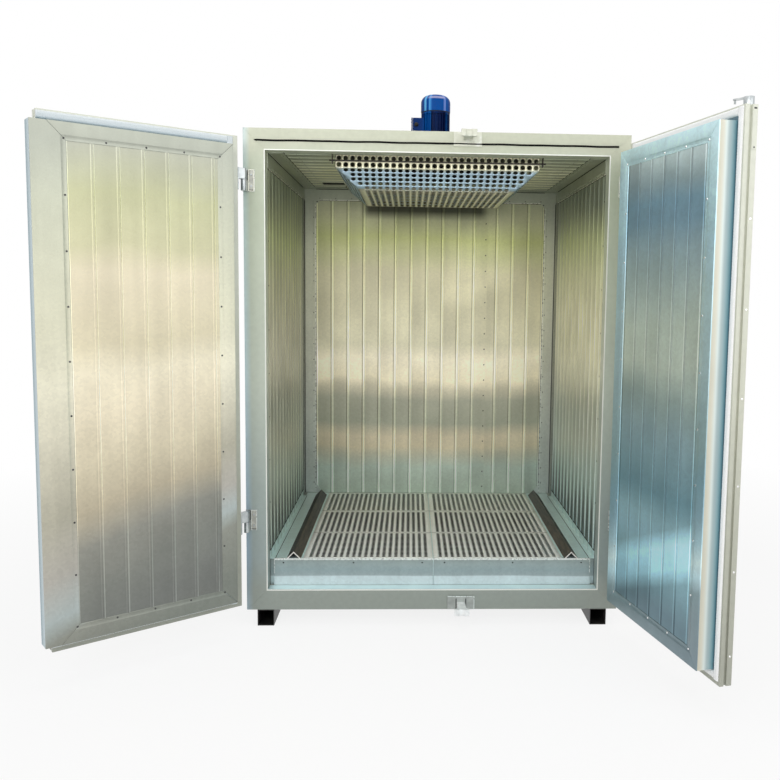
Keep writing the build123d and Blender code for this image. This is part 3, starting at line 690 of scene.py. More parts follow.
# Bluish tones on the deck are painted reflection; the fascia's tone paints a light band on its kicked-out
# foot and shade above.
deck_sheet = galvanised("galvanised deck", "Y", *CHAMBER_Y, [
    (0.0, (0.74, 0.94, 0.95)), (0.5, (0.72, 0.90, 0.88)), (1.0, (0.62, 0.74, 0.70))], metallic=0.35)
fascia_sheet = galvanised("galvanised fascia", "Z", 0.18, 0.31, [
    (0.0, (0.59, 0.71, 0.73)), (0.31, (0.56, 0.68, 0.70)), (0.345, (0.34, 0.42, 0.43)),
    (0.42, (0.315, 0.395, 0.405)), (0.55, (0.295, 0.385, 0.395)), (0.75, (0.32, 0.40, 0.40)),
    (0.9, (0.305, 0.37, 0.36)), (1.0, (0.26, 0.315, 0.305))], drift=0.004)
screws = bmesh.new()
hems = bmesh.new()
for side, name in ((-1, "left"), (1, "right")):
    low, high = limits("deck_fascia_" + name)
    slab(hems, (low.x, high.x), (low.y - 1.2, low.y + 6), (high.z - 7, high.z + 2.2))
    end = low.x if side < 0 else high.x
    slab(hems, sorted((end, end - side * 3)), (low.y - 0.8, low.y + 3), (low.z + FASCIA_BEND, high.z - 7))
    bm = bmesh.new()
    bend, foot = low.z + FASCIA_BEND, low.z + 1
    y0, y1 = low.y, high.y
    prism(bm, [(y0, high.z), (y0, bend), (y0 - FASCIA_KICK, foot), (y0 - FASCIA_KICK + 2, foot),
               (y1, bend), (y1, high.z)], 0, low.x, high.x)
    piece("fascia_" + name, bm, "cabinet", fascia_sheet, ["deck_fascia_" + name],
          bevel=0.7)
    heads(screws, [(side * x, y0, high.z - 20) for x in (55, 393, 735)], (0, -1, 0), 4, 1.6)
    dress(frame["nodes"]["deck_edge_" + name], deck_sheet, 0.7, 2, weld=True)
    bm = bmesh.new()
    slab(bm, on_side(side, half - 1, half - 22), (y1 + 3, y1 + 5), (low.z + 1, high.z - 1))
    piece("fascia_return_" + name, bm, "cabinet", fascia_sheet, bevel=0.3)
piece("fascia_screws", screws, "cabinet", black_and_painted_shade)
# Light strips along the fascias' top edges and ends are painted highlights.
piece("fascia_hems", hems, "cabinet", painted_highlight_sheet, bevel=0.5)
dress(frame["nodes"]["deck_bearers"], deck_sheet, 0.7, 2, weld=True)
dress(frame["nodes"]["skirting"], deck_sheet, 0.5, 1, weld=True)
low, high = limits("skirting")
along = (low.y + 2, high.y - 2)
bm = bmesh.new()
for side in (-1, 1):
    slab(bm, on_side(side, half - 1, half - 3.4), along, (high.z, high.z + 2.6))
    slab(bm, on_side(side, half - 23.5, half - 26), along, (deck - 0.2, deck + 0.6))
piece("skirting_joints", bm, "cabinet", black_and_painted_shade)
duct_painted_shade = mottled("dark sheet, painted shade in the duct", 0.0, 0.95, 6, (0.01,) * 3, (0.022,) * 3, Specular_IOR_Level=0.1)[0]
bm = bmesh.new()
low, high = limits("floor_panel")
slab(bm, (-half + 1, half - 1), (low.y + 14, high.y - 3), (high.z, high.z + 1))
piece("duct_floor", bm, "cabinet", duct_painted_shade)

# Floor grilles: six galvanised sheets punched with round holes, in two columns of three.
# The holes are 19 mm wide, 30 mm apart across and 21 mm along; the sheets lie on the bearers.
HOLE_PITCH = (30, 21)
HOLE_R = 9.5
FRONT_MARGIN = 24
REAR_MARGIN = 11
CORNER_TURNS = (-135, -45, 45, 135)
HOLE_STEP = 30


def clip(outline, a, b):
    """The part of a convex outline left of the line from a to b."""
    kept = []
    for i, p in enumerate(outline):
        q = outline[(i + 1) % len(outline)]
        here = (b[0] - a[0]) * (p[1] - a[1]) - (b[1] - a[1]) * (p[0] - a[0])
        there = (b[0] - a[0]) * (q[1] - a[1]) - (b[1] - a[1]) * (q[0] - a[0])
        if here >= -1e-6:
            kept.append(p)
        if (here > 1e-6 and there < -1e-6) or (here < -1e-6 and there > 1e-6):
            share = here / (here - there)
            kept.append((p[0] + (q[0] - p[0]) * share, p[1] + (q[1] - p[1]) * share))
    return kept


def inside(outline, point, margin):
    """Whether a point lies in a convex outline, a margin clear of its edges."""
    for i, a in enumerate(outline):
        b = outline[(i + 1) % len(outline)]
        across = (b[0] - a[0]) * (point[1] - a[1]) - (b[1] - a[1]) * (point[0] - a[0])
        if across / math.dist(a, b) < margin:
            return False
    return True


def punched(bm, outline, first, count, pitch, radius, carry):
    """A flat sheet in a convex outline, with a grid of holes where they fit whole."""
    made = {}

    def corner(p):
        key = (round(p[0], 3), round(p[1], 3))
        if key not in made:
            made[key] = bm.verts.new(Vector(carry(*p)) * MM)
        return made[key]

    def panel(points):
        keep = []
        for p in points:
            if not keep or math.dist(p, keep[-1]) > 0.01:
                keep.append(p)
        if len(keep) > 2 and math.dist(keep[0], keep[-1]) < 0.01:
            keep.pop()
        if len(keep) > 2:
            bm.faces.new([corner(p) for p in keep])

    lines = []
    for k in (0, 1):
        low, high = min(p[k] for p in outline), max(p[k] for p in outline)
        grid = [first[k] + pitch[k] * i for i in range(count[k] + 1)]
        before = [low] if grid[0] > low + 0.01 else []
        after = [high] if grid[-1] < high - 0.01 else []
        lines.append(before + grid + after)
    for u0, u1 in zip(lines[0], lines[0][1:]):
        for v0, v1 in zip(lines[1], lines[1][1:]):
            middle = ((u0 + u1) / 2, (v0 + v1) / 2)
            cell = [(u0, v0), (u1, v0), (u1, v1), (u0, v1)]
            whole = all(inside(outline, p, -0.01) for p in cell)
            full = abs(u1 - u0 - pitch[0]) < 0.01 and abs(v1 - v0 - pitch[1]) < 0.01
            if whole and full and inside(outline, middle, radius + 1):
                for i, turn in enumerate(CORNER_TURNS):
                    arc = [math.radians(turn + 90 - HOLE_STEP * step) for step in range(4)]
                    rim = [(middle[0] + radius * math.cos(t), middle[1] + radius * math.sin(t)) for t in arc]
                    bm.faces.new([corner(p) for p in (cell[i], cell[(i + 1) % 4], *rim)])
                continue
            for i, a in enumerate(outline):
                cell = clip(cell, a, outline[(i + 1) % len(outline)]) if cell else cell
            panel(cell)


# The holes' cut edges are near black as painted shade, and the grilles' near-white tone paints the bars as
# brightly lit.
cut_edge_painted_shade = mottled("cut edges in painted shade", 0.2, 0.7, 40, (0.012,) * 3, (0.03,) * 3)[0]
grille_sheet = galvanised("galvanised grille", "Y", *CHAMBER_Y, [
    (0.0, (0.98, 1.0, 0.97)), (0.35, (1.0, 1.0, 0.94)), (0.7, (1.0, 1.0, 0.90)), (1.0, (0.95, 0.98, 0.86))],
    metallic=0)
for row in ("front", "middle", "rear"):
    for name in ("left", "right"):
        low, high = limits(f"grille_{row}_{name}")
        across = int((high.x - low.x - 24) / HOLE_PITCH[0])
        margin = FRONT_MARGIN if row == "front" else REAR_MARGIN
        deep = int((high.y - low.y - margin - 10) / HOLE_PITCH[1])
        first = ((low.x + high.x - across * HOLE_PITCH[0]) / 2, low.y + margin)
        bm = bmesh.new()
        outline = [(low.x, low.y), (high.x, low.y), (high.x, high.y), (low.x, high.y)]
        level = high.z - 1
        punched(bm, outline, first, (across, deep), HOLE_PITCH, HOLE_R, lambda x, y: (x, y, level))
        piece(f"floor_grille_{row}_{name}", bm, "cabinet", grille_sheet,
              [f"grille_{row}_{name}"], sheet=1.2, rim=cut_edge_painted_shade)

# Rails: angle iron laid corner up on the deck, with brown mill scale and bright sawn ends.
# Rust shows in long streaks where loads have been dragged along it.
iron, shader, place = finish_of("mill scale", 0.25, 0.55)
stretched = node(iron, "Mapping", {"Vector": place, "Scale": (30, 3, 30)}).outputs["Vector"]
streaks = ramp(iron, noise(iron, stretched, 3, 5, 0.65), [
    (0.3, (0.02, 0.019, 0.018)), (0.5, (0.05, 0.044, 0.038)), (0.62, (0.085, 0.066, 0.05)),
    (0.75, (0.035, 0.033, 0.03))])
colour(iron, shader, streaks)
bump(iron, shader, noise(iron, place, 130, 4, 0.6), 0.4)
sawn = mottled("sawn steel", 0.8, 0.35, 90, (0.55, 0.54, 0.5), (0.8, 0.79, 0.75))[0]
ANGLE_T = 5
bm = bmesh.new()
for name in ("left_rail", "right_rail"):
    dress(frame["nodes"][name], iron, 0.8, 2, weld=True)
    low, high = limits(name)
    middle, rise_in = (low.x + high.x) / 2, high.z - low.z - ANGLE_T * math.sqrt(2)
    outline = [(low.x, low.z), (middle, high.z), (high.x, low.z), (middle + rise_in, low.z),
               (middle, low.z + rise_in), (middle - rise_in, low.z)]
    prism(bm, outline, 1, low.y - 0.6, low.y)
piece("rail_ends", bm, "cabinet", sawn)

# Fan guard: punched galvanised sheet, a low collar under the ceiling and a tray with sloping sides.
# Two rods along the collar carry it, on straps from the ceiling; a dark plate over the fan's inlet is painted
# shade.
COLUMNS = 30
EDGE_COLUMNS = 4
COLLAR_ROWS = 2
SLOPE_ROWS = 5
BOTTOM_PITCH = 28
GUARD_RUN = 107
GUARD_HOLE_R = 10.8
BOTTOM_HOLE_R = 12.3
# The guard's tone bands are painted reflections, bluish across the slopes.
guard_sheet = galvanised("galvanised fan guard", "Z", 2.11, 2.26, [
    (0.0, (0.86, 0.84, 0.70)), (0.03, (0.84, 0.84, 0.72)), (0.05, (0.64, 0.84, 0.98)),
    (0.52, (0.62, 0.80, 0.95)), (0.62, (0.84, 0.80, 0.58)), (1.0, (0.62, 0.58, 0.42))], drift=0.004)
low, high = limits("guard_collar")
x0, x1, y0, y1 = low.x, high.x, low.y, high.y
fold_z, foot_z = low.z, limits("guard_screen")[0].z
slope = math.hypot(GUARD_RUN, fold_z - foot_z)
rise = high.z - fold_z
for side, (a, b) in (("front", (y0, 1)), ("rear", (y1, -1)), ("left", (x0, 1)), ("right", (x1, -1))):
    start, stop = (x0, x1) if side in ("front", "rear") else (y0, y1)
    pitch = (stop - start) / COLUMNS

    def carried(u, v, a=a, b=b, side=side):
        """v above 0 climbs the collar; below 0 it goes down and in along the slope."""
        share = max(0, -v) / slope
        level = fold_z + (v if v > 0 else -share * (fold_z - foot_z))
        into = a + b * (1 + GUARD_RUN * share)
        return (u, into, level) if side in ("front", "rear") else (into, u, level)

    bm = bmesh.new()
    punched(bm, [(start, 0), (stop, 0), (stop, rise), (start, rise)], (start, 0), (COLUMNS, COLLAR_ROWS),
            (pitch, rise / COLLAR_ROWS), GUARD_HOLE_R, carried)
    punched(bm, [(start + GUARD_RUN, -slope), (stop - GUARD_RUN, -slope), (stop, 0), (start, 0)],
            (start, -slope), (COLUMNS, SLOPE_ROWS), (pitch, slope / SLOPE_ROWS), GUARD_HOLE_R, carried)
    bmesh.ops.remove_doubles(bm, verts=bm.verts, dist=0.01 * MM)
    stands_for = {"front": ["guard_collar"], "rear": ["guard_screen"]}.get(side, [])
    piece("guard_" + side, bm, "cabinet", guard_sheet, stands_for, sheet=1, rim=cut_edge_painted_shade,
          smooth=20)
bm = bmesh.new()
pitch = (x1 - x0) / COLUMNS
rows = int((y1 - y0 - 2 * GUARD_RUN) / BOTTOM_PITCH)
xs, ys = (x0 + GUARD_RUN, x1 - GUARD_RUN), (y0 + GUARD_RUN, y1 - GUARD_RUN)
outline = [(xs[0], ys[0]), (xs[1], ys[0]), (xs[1], ys[1]), (xs[0], ys[1])]
first = (x0 + pitch * EDGE_COLUMNS, (y0 + y1 - rows * BOTTOM_PITCH) / 2)
punched(bm, outline, first, (COLUMNS - 2 * EDGE_COLUMNS, rows), (pitch, BOTTOM_PITCH), BOTTOM_HOLE_R,
        lambda x, y: (x, y, foot_z + 1))
piece("guard_bottom", bm, "cabinet", guard_sheet, sheet=0.8, rim=cut_edge_painted_shade)
for name in ("guard_rod_front", "guard_rod_rear"):
    dress(frame["nodes"][name], iron, 0.4, 2, weld=True)
inlet_painted_shade = mottled("dark sheet, painted shade behind the guard", 0.4, 0.6, 8, (0.01,) * 3, (0.03,) * 3)[0]
nozzle = [(205, 0), (205, 20), (190, 26), (176, 20), (176, 0)]
bm = bmesh.new()
slab(bm, (x0 + 3, x1 - 3), (y0 + 3, y1 - 3), (lintel - 5, lintel - 4))
round_form(bm, nozzle, (0, (y0 + y1) / 2, lintel - 4), (0, 0, -1), 48)
piece("fan_inlet", bm, "cabinet", inlet_painted_shade)

# Fan motor: a flange-mounted motor upright on the roof, in gloss blue.
# It has a ribbed cast body, a domed cowl with air holes, and a box with a screwed lid on its left.
FINS = 30
FIN_DEPTH = 9
BODY_R = 76
FLANGE_T = 12
PLATE_T = 8
BOX_REACH = 46


def gloss_blue(name, stops, cap=None):
    """Gloss blue paint round the motor's axis, with highlights painted into its tone: stops run from its left
    round the front to its right and back.

    cap is the height of a pale painted highlight across the front of a dome."""
    mat, shader, place = finish_of(name, 0.0, 0.3, Coat_Weight=0.02, Coat_Roughness=0.08,
                                   Specular_IOR_Level=0.05)
    parts = node(mat, "SeparateXYZ", {"Vector": place}).outputs
    values = {0: sum_of(mat, parts["Y"], -axis_y * MM), 1: sum_of(mat, parts["X"], -axis_x * MM)}
    turn = node(mat, "Math", values, operation="ARCTAN2").outputs["Value"]
    tone = ramp(mat, span(mat, turn, -math.pi, math.pi), stops)
    if cap:
        band = within(mat, parts["Z"], cap * MM, cap * MM + 0.009, 0.004)
        lit = product(mat, band, within(mat, turn, -2.1, -0.9, 0.2))
        tone = blend(mat, tone, (0.46, 0.44, 0.62), product(mat, lit, 0.85))
    colour(mat, shader, clouded(mat, tone, place, 7, 3, 0.88, 1.1))
    bump(mat, shader, noise(mat, place, 260, 2), 0.08)
    return mat


def turned(bm, profile, foot, sides=48):
    """A form turned about the motor's axis, from a foot height up."""
    round_form(bm, profile, (axis_x, axis_y, foot), (0, 0, 1), sides)


def about_axis(reach, angle):
    """X and Y of a point round the motor's axis."""
    return axis_x + reach * math.cos(angle), axis_y + reach * math.sin(angle)


low, high = limits("motor_body")
axis_x, axis_y = (low.x + high.x) / 2, (low.y + high.y) / 2
# The light bands in these stops are painted highlights round the cowl and the ribbed body.
motor_blue = gloss_blue("gloss blue cowl paint, painted highlights", [
    (0.0, (0.001, 0.02, 0.12)), (0.06, (0.001, 0.03, 0.17)), (0.1, (0.002, 0.05, 0.26)),
    (0.117, (0.14, 0.48, 0.86)), (0.13, (0.14, 0.48, 0.86)), (0.145, (0.002, 0.05, 0.27)),
    (0.165, (0.002, 0.07, 0.32)), (0.178, (0.10, 0.38, 0.80)), (0.19, (0.04, 0.22, 0.60)),
    (0.21, (0.002, 0.07, 0.32)), (0.33, (0.003, 0.07, 0.31)), (0.346, (0.12, 0.21, 0.55)),
    (0.356, (0.20, 0.28, 0.64)), (0.37, (0.004, 0.08, 0.34)), (0.42, (0.002, 0.05, 0.26)),
    (0.5, (0.001, 0.03, 0.16)), (0.75, (0.002, 0.06, 0.28)), (1.0, (0.001, 0.02, 0.12))],
    cap=limits("motor_cowl")[1].z - 24)
motor_deep = gloss_blue("gloss blue casting paint, painted highlights", [
    (0.0, (0, 0.012, 0.07)), (0.09, (0, 0.03, 0.16)), (0.12, (0.002, 0.10, 0.40)),
    (0.15, (0.001, 0.04, 0.20)), (0.18, (0.004, 0.12, 0.44)), (0.2, (0, 0.006, 0.05)),
    (0.25, (0.0005, 0.018, 0.10)), (0.3, (0, 0.008, 0.06)), (0.36, (0, 0.005, 0.04)),
    (0.4, (0.002, 0.06, 0.24)), (0.42, (0, 0.01, 0.06)), (0.75, (0, 0.014, 0.08)),
    (1.0, (0, 0.012, 0.07))])
flange_r, flange_top, body_top = (high.x - low.x) / 2, low.z + FLANGE_T, high.z
bm = bmesh.new()
outline = []
for fin in range(FINS):
    for share, radius in ((0, BODY_R - FIN_DEPTH), (0.56, BODY_R - FIN_DEPTH), (0.66, BODY_R), (0.9, BODY_R)):
        outline.append(about_axis(radius, math.tau * (fin + share) / FINS))
prism(bm, outline, 2, flange_top, body_top)
piece("motor_ribs", bm, "cabinet", motor_deep, ["motor_body"], bevel=0.5)
bm = bmesh.new()
turned(bm, [(flange_r - 3, 0), (flange_r, 3), (flange_r, FLANGE_T - 3), (flange_r - 3, FLANGE_T)], low.z)
turned(bm, [(BODY_R - 2, 0), (BODY_R - 2, 12), (BODY_R - 5, 14)], flange_top)
turned(bm, [(BODY_R - 6, 0), (BODY_R - 1, 2), (BODY_R - 1, 14)], body_top - 14)
piece("motor_flange", bm, "cabinet", motor_deep, bevel=0.6)
low, high = limits("motor_cowl")
cowl_r, cowl_h = (high.x - low.x) / 2, high.z - low.z
bm = bmesh.new()
dome = [(cowl_r - 3, 0), (cowl_r - 0.5, 1.5), (cowl_r, 4), (cowl_r, cowl_h - cowl_r / 2)]
for step in range(1, 9):
    angle = math.radians(step * 90 / 8)
    dome.append((cowl_r / 2 * (1 + math.cos(angle)), cowl_h - cowl_r / 2 * (1 - math.sin(angle))))
turned(bm, dome, low.z, 64)
piece("motor_cowl_cap", bm, "cabinet", motor_blue, ["motor_cowl"], smooth=40)
# A dark ring under the cowl and dark dots for its air holes are painted shade.
bm = bmesh.new()
turned(bm, [(cowl_r - 1.5, 0), (cowl_r - 1.5, 3)], low.z - 3, 64)
for ring in range(3):
    for step in range(12 + 6 * ring):
        spot = (*about_axis(14 + 11 * ring, math.tau * step / (12 + 6 * ring)), high.z - 0.6)
        round_form(bm, [(2.6, 0), (2.6, 0.5)], spot, (0, 0, 1), 8)
piece("motor_shadow_gap", bm, "cabinet", black_and_painted_shade)
low, high = limits("motor_box")
box_y, middle_z = (axis_y - BOX_REACH, axis_y + BOX_REACH), (low.z + high.z) / 2
bm = bmesh.new()
slab(bm, (low.x + 7, axis_x - 60), box_y, (low.z, high.z))
piece("motor_terminal_box", bm, "cabinet", motor_deep, ["motor_box"], bevel=4)
bm = bmesh.new()
slab(bm, (low.x, low.x + 6), box_y, (low.z, high.z))
lid_screws = [(low.x + 0.4, axis_y + y, middle_z + z) for y in (-38, 38) for z in (-28, 28)]
heads(bm, lid_screws, (-1, 0, 0), 4, 2)
piece("motor_box_lid", bm, "cabinet", motor_deep, bevel=2)
bm = bmesh.new()
gland = ((low.x - BODY_R) / 2, box_y[0], middle_z)
round_form(bm, [(12, 0), (12, 6), (9.5, 7), (9.5, 15), (6, 18)], gland, (0, -1, 0), 6)
piece("motor_gland", bm, "cabinet", black_and_painted_shade, bevel=0.8)
low, high = limits("motor_base")
bm = bmesh.new()
slab(bm, (low.x, high.x), (low.y, high.y), (low.z, low.z + PLATE_T))
piece("motor_base_plate", bm, "cabinet", motor_deep, ["motor_base"], bevel=1.5)
bm = bmesh.new()
turned(bm, [(66, 0), (60, 6), (60, 42), (66, 48)], low.z + PLATE_T)
piece("motor_neck", bm, "cabinet", motor_deep, smooth=45)
bm = bmesh.new()
for x in (low.x + 22, high.x - 22):
    for y in (low.y + 22, high.y - 22):
        round_form(bm, [(9, 0), (9, 6), (7.5, 7.5)], (x, y, low.z + PLATE_T), (0, 0, 1), 6)
for step in range(4):
    spot = (*about_axis(88, math.radians(45 + 90 * step)), flange_top)
    round_form(bm, [(6, 0), (6, 4.5), (5, 5.5)], spot, (0, 0, 1), 6)
piece("motor_bolts", bm, "cabinet", zinc, bevel=0.3)

# Doors: each is a coated leaf that laps the frame and an insulated plug that fills the doorway.
# They are built as if closed, then turned about their hinges to where they stand.
LEAF_Z = (134, 2306)
LEAF_Y = (-66, -14)
LEAF_HINGE_X = 850
LEFT_FREE_X = -16
RIGHT_FREE_X = -2
PLUG_Z = (186, 2254)
PLUG_CORE = 58
PLUG_SKIN = 58.5
PLUG_FACE = 62
LEFT_PLUG = (-794, -16)
LEFT_FACE = (-794, -34)
RIGHT_PLUG = (40, 794)
REBATE_X = 26
REBATE_Y = -2
LEFT_RIB_X = -200
RIGHT_RIB_X = 217
GROOVE_Y = (-43, -32)
GROOVE_DEPTH = 9
BORDER = 72
BORDER_STEP = 20
BORDER_LAP = 60
SCREW_EDGE = 10
DOOR_Z = (0.13, 2.3)


def swing(name, degrees):
    """The turn about a joint's axis that carries a closed door to where it stands."""
    joint = next(j for j in frame["joints"] if j["name"] == name)
    pin = Vector(joint["pos_m"])
    return Matrix.Translation(pin) @ Matrix.Rotation(math.radians(degrees), 4, "Z") @ Matrix.Translation(-pin)


left_at = swing("left_door_hinge", -143)
right_at = swing("right_door_hinge", 103)
# Door linings and borders are painted with bands of reflection and shade; the right lining's slanting band
# and the right border's pale bands are painted highlights.
left_skin = galvanised("galvanised left door lining", "Z", *DOOR_Z, [
    (0.0, (0.20, 0.21, 0.195)), (0.09, (0.23, 0.24, 0.215)), (0.17, (0.31, 0.31, 0.27)),
    (0.2, (0.40, 0.375, 0.305)), (0.25, (0.52, 0.46, 0.335)), (0.34, (0.68, 0.61, 0.445)),
    (0.44, (0.80, 0.72, 0.54)), (0.52, (0.79, 0.725, 0.55)), (0.58, (0.65, 0.59, 0.42)),
    (0.71, (0.63, 0.57, 0.42)), (0.76, (0.51, 0.495, 0.32)), (0.86, (0.455, 0.46, 0.285)),
    (0.96, (0.40, 0.41, 0.345))], lean=0.34, ribs=("X", LEFT_RIB_X),
    rib_painted_light=[(0.0, 0.52), (0.025, 0.53), (0.04, 0.62), (0.075, 0.6), (0.095, 0.5), (0.11, 0.55), (0.5, 0.55),
          (0.89, 0.57), (0.905, 0.49), (0.92, 1.0), (0.96, 1.0), (0.975, 0.53), (1.0, 0.52)])
right_skin = galvanised("galvanised right door lining", "Z", *DOOR_Z, [
    (0.0, (0.14, 0.235, 0.285)), (0.08, (0.15, 0.25, 0.30)), (0.12, (0.20, 0.34, 0.40)),
    (0.17, (0.32, 0.54, 0.62)), (0.22, (0.40, 0.65, 0.76)), (0.26, (0.39, 0.63, 0.72)),
    (0.31, (0.25, 0.45, 0.54)), (0.36, (0.32, 0.51, 0.59)), (0.42, (0.395, 0.565, 0.63)),
    (0.49, (0.45, 0.58, 0.57)), (0.56, (0.71, 0.82, 0.74)), (0.63, (0.69, 0.81, 0.74)),
    (0.77, (0.46, 0.63, 0.71)), (0.82, (0.30, 0.48, 0.61)), (0.86, (0.28, 0.46, 0.58)),
    (0.90, (0.37, 0.49, 0.53)), (0.94, (0.58, 0.71, 0.73))], ribs=("X", RIGHT_RIB_X),
    rib_painted_light=[(0.0, 0.45), (0.02, 0.6), (0.035, 1.0), (0.085, 0.95), (0.105, 0.52), (0.5, 0.55), (0.91, 0.57),
          (0.925, 0.28), (0.955, 0.26), (0.975, 0.42)], own=0.09, arc=(0.665, -0.4, 0.12, 2.0))
left_trim = galvanised("galvanised left border", "Z", -0.1, 2.3, [
    (0.015, (0.225, 0.245, 0.215)), (0.12, (0.295, 0.305, 0.265)), (0.16, (0.46, 0.52, 0.51)),
    (0.23, (0.48, 0.46, 0.41)), (0.33, (0.46, 0.44, 0.35)), (0.43, (0.66, 0.63, 0.50)),
    (0.54, (0.79, 0.76, 0.60)), (0.65, (0.63, 0.62, 0.475)), (0.85, (0.49, 0.505, 0.40)),
    (0.96, (0.415, 0.435, 0.37))], lean=0.45)
right_trim = galvanised("galvanised right border", "Z", *DOOR_Z, [
    (0.0, (0.20, 0.27, 0.31)), (0.12, (0.22, 0.30, 0.33)), (0.17, (0.28, 0.38, 0.41)),
    (0.2, (0.64, 0.86, 0.93)), (0.225, (0.80, 0.98, 1.0)), (0.26, (0.54, 0.77, 0.86)),
    (0.31, (0.36, 0.57, 0.68)), (0.36, (0.34, 0.56, 0.66)), (0.42, (0.40, 0.58, 0.62)),
    (0.56, (0.54, 0.74, 0.80)), (0.7, (0.56, 0.77, 0.84)), (0.77, (0.58, 0.83, 0.97)),
    (0.82, (0.62, 0.90, 1.0)), (0.97, (0.69, 0.94, 1.0))], lean=0.29)
# The leaf coat darkens towards the bottom as painted shade.
leaf_coat = coated("door leaf coat", 0.1, 2.4, [
    (0.0, (0.38, 0.39, 0.33)), (0.25, (0.47, 0.48, 0.40)), (0.5, (0.60, 0.61, 0.51)),
    (1.0, (0.68, 0.70, 0.60))], 0.05)


def leaf(name, hinge_x, free_x, ribs_at, at):
    """A leaf, ribbed outside, with a groove down its free edge."""
    way = 1 if hinge_x > free_x else -1
    outline = ribbed(free_x, hinge_x, ribs_at, LEAF_Y[0], SKIN_RISE)
    outline += [(hinge_x, LEAF_Y[1]), (free_x, LEAF_Y[1]), (free_x, GROOVE_Y[1]),
                (free_x + way * GROOVE_DEPTH, GROOVE_Y[1]), (free_x + way * GROOVE_DEPTH, GROOVE_Y[0]),
                (free_x, GROOVE_Y[0])]
    bm = bmesh.new()
    prism(bm, outline, 2, *LEAF_Z)
    piece(name + "_door_leaf_sheet", bm, name + "_door", leaf_coat,
          [name + "_door_leaf"], bevel=1.2, at=at)


leaf("left", -LEAF_HINGE_X, LEFT_FREE_X, [LEFT_FREE_X - FIRST_RIB - RIB_PITCH * i for i in range(8)], left_at)
leaf("right", LEAF_HINGE_X, RIGHT_FREE_X, [FIRST_RIB + RIB_PITCH * i for i in range(8)], right_at)


def plug(name, x0, x1, finish, at):
    """A plug's box of folded sheet, from the leaf to just under its lining."""
    bm = bmesh.new()
    prism(bm, [(x0, LEAF_Y[1]), (x1, LEAF_Y[1]), (x1, PLUG_CORE), (x0, PLUG_CORE)], 2, *PLUG_Z)
    piece(name + "_door_plug_box", bm, name + "_door", finish,
          [name + "_door_plug"], bevel=1.5, at=at)


def depth_bands(name, stops):
    """Smooth folded sheet whose tone bands, from the leaf to the plug's face, are painted reflections."""
    mat, shader, place = finish_of(name, 0.15, 0.35)
    along = node(mat, "SeparateXYZ", {"Vector": place}).outputs["Y"]
    tone = ramp(mat, span(mat, along, LEAF_Y[1] * MM, PLUG_FACE * MM), stops)
    colour(mat, shader, clouded(mat, tone, place, 3, 3, 0.95, 1.04))
    bump(mat, shader, noise(mat, place, 7, 2), 1.0, 0.5)
    return mat


right_side = depth_bands("right plug side", [
    (0.0, (0.08, 0.23, 0.30)), (0.12, (0.20, 0.37, 0.42)), (0.28, (0.32, 0.46, 0.49)),
    (0.42, (0.40, 0.50, 0.51)), (0.58, (0.68, 0.76, 0.73)), (0.74, (0.66, 0.65, 0.55)),
    (0.93, (0.60, 0.58, 0.47)), (0.955, (0.84, 0.9, 0.86))])
left_side = depth_bands("left plug side", [
    (0.0, (0.14, 0.25, 0.30)), (0.35, (0.28, 0.40, 0.45)), (0.6, (0.44, 0.56, 0.60)),
    (1.0, (0.52, 0.63, 0.67))])
plug("left", *LEFT_PLUG, left_side, left_at)
bm = bmesh.new()
slab(bm, (LEFT_PLUG[1] - 1, REBATE_X), (REBATE_Y, PLUG_CORE), PLUG_Z)
piece("left_door_rebate", bm, "left_door", left_side, bevel=1.5, at=left_at)
plug("right", *RIGHT_PLUG, right_side, right_at)


def lining(name, x0, x1, middles, finish, at):
    """A ribbed inner skin, its edges tucked under the borders."""
    start, stop = x0 + BORDER - 2, x1 - BORDER + 2
    face = ribbed(start, stop, middles, PLUG_SKIN, 2)
    bm = bmesh.new()
    prism(bm, face + [(stop, PLUG_SKIN - 1), (start, PLUG_SKIN - 1)], 2, PLUG_Z[0] + BORDER - 6,
          PLUG_Z[1] - BORDER + 6)
    piece(name + "_door_lining", bm, name + "_door", finish, smooth=12, at=at)


lining("left", *LEFT_FACE, [LEFT_RIB_X - RIB_PITCH * i for i in range(6)], left_skin, left_at)
lining("right", *RIGHT_PLUG, [RIGHT_RIB_X + RIB_PITCH * i for i in range(5)], right_skin, right_at)


def border_run(bm, axis, side, start, stop, lap=0):
    """One mitred strip: a flat with a lower hem along its inner edge, and a square-ended lap if any."""
    deep = [(0, PLUG_FACE), (BORDER - BORDER_STEP - 3, PLUG_FACE), (BORDER - BORDER_STEP, PLUG_FACE - 1.3),
            (BORDER - 2, PLUG_FACE - 1.3), (BORDER, PLUG_FACE - 2.6), (BORDER, PLUG_SKIN - 0.8),
            (0, PLUG_SKIN - 0.8)]
    if lap:
        deep += [(-lap, PLUG_SKIN - 0.8), (-lap, PLUG_FACE)]
    rings = []
    for end, way in ((start, 1), (stop, -1)):
        ring = []
        for into, y in deep:
            across = side[0] + side[1] * into
            along = end + way * max(0, into)
            point = (across, y, along) if axis == 2 else (along, y, across)
            ring.append(bm.verts.new(Vector(point) * MM))
        bm.faces.new(ring[:7])
        if lap:
            bm.faces.new((ring[0], ring[6], ring[7], ring[8]))
        rings.append(ring)
    for i in range(len(deep)):
        j = (i + 1) % len(deep)
        bm.faces.new((rings[0][i], rings[0][j], rings[1][j], rings[1][i]))


def border(name, x0, x1, lap, finish, at):
    """The border round a plug's face, its four strips mitred with a hair gap."""
    bm = bmesh.new()
    z0, z1 = PLUG_Z
    gap = 0.7
    border_run(bm, 2, (x0, 1), z0 + gap, z1 - gap)
    border_run(bm, 2, (x1, -1), z0 + gap, z1 - gap, lap)
    border_run(bm, 0, (z0, 1), x0 + gap, x1 - gap)
    border_run(bm, 0, (z1, -1), x0 + gap, x1 - gap)
    piece(name + "_door_border_strips", bm, name + "_door", finish,
          [name + "_door_border"], bevel=0.4, at=at)


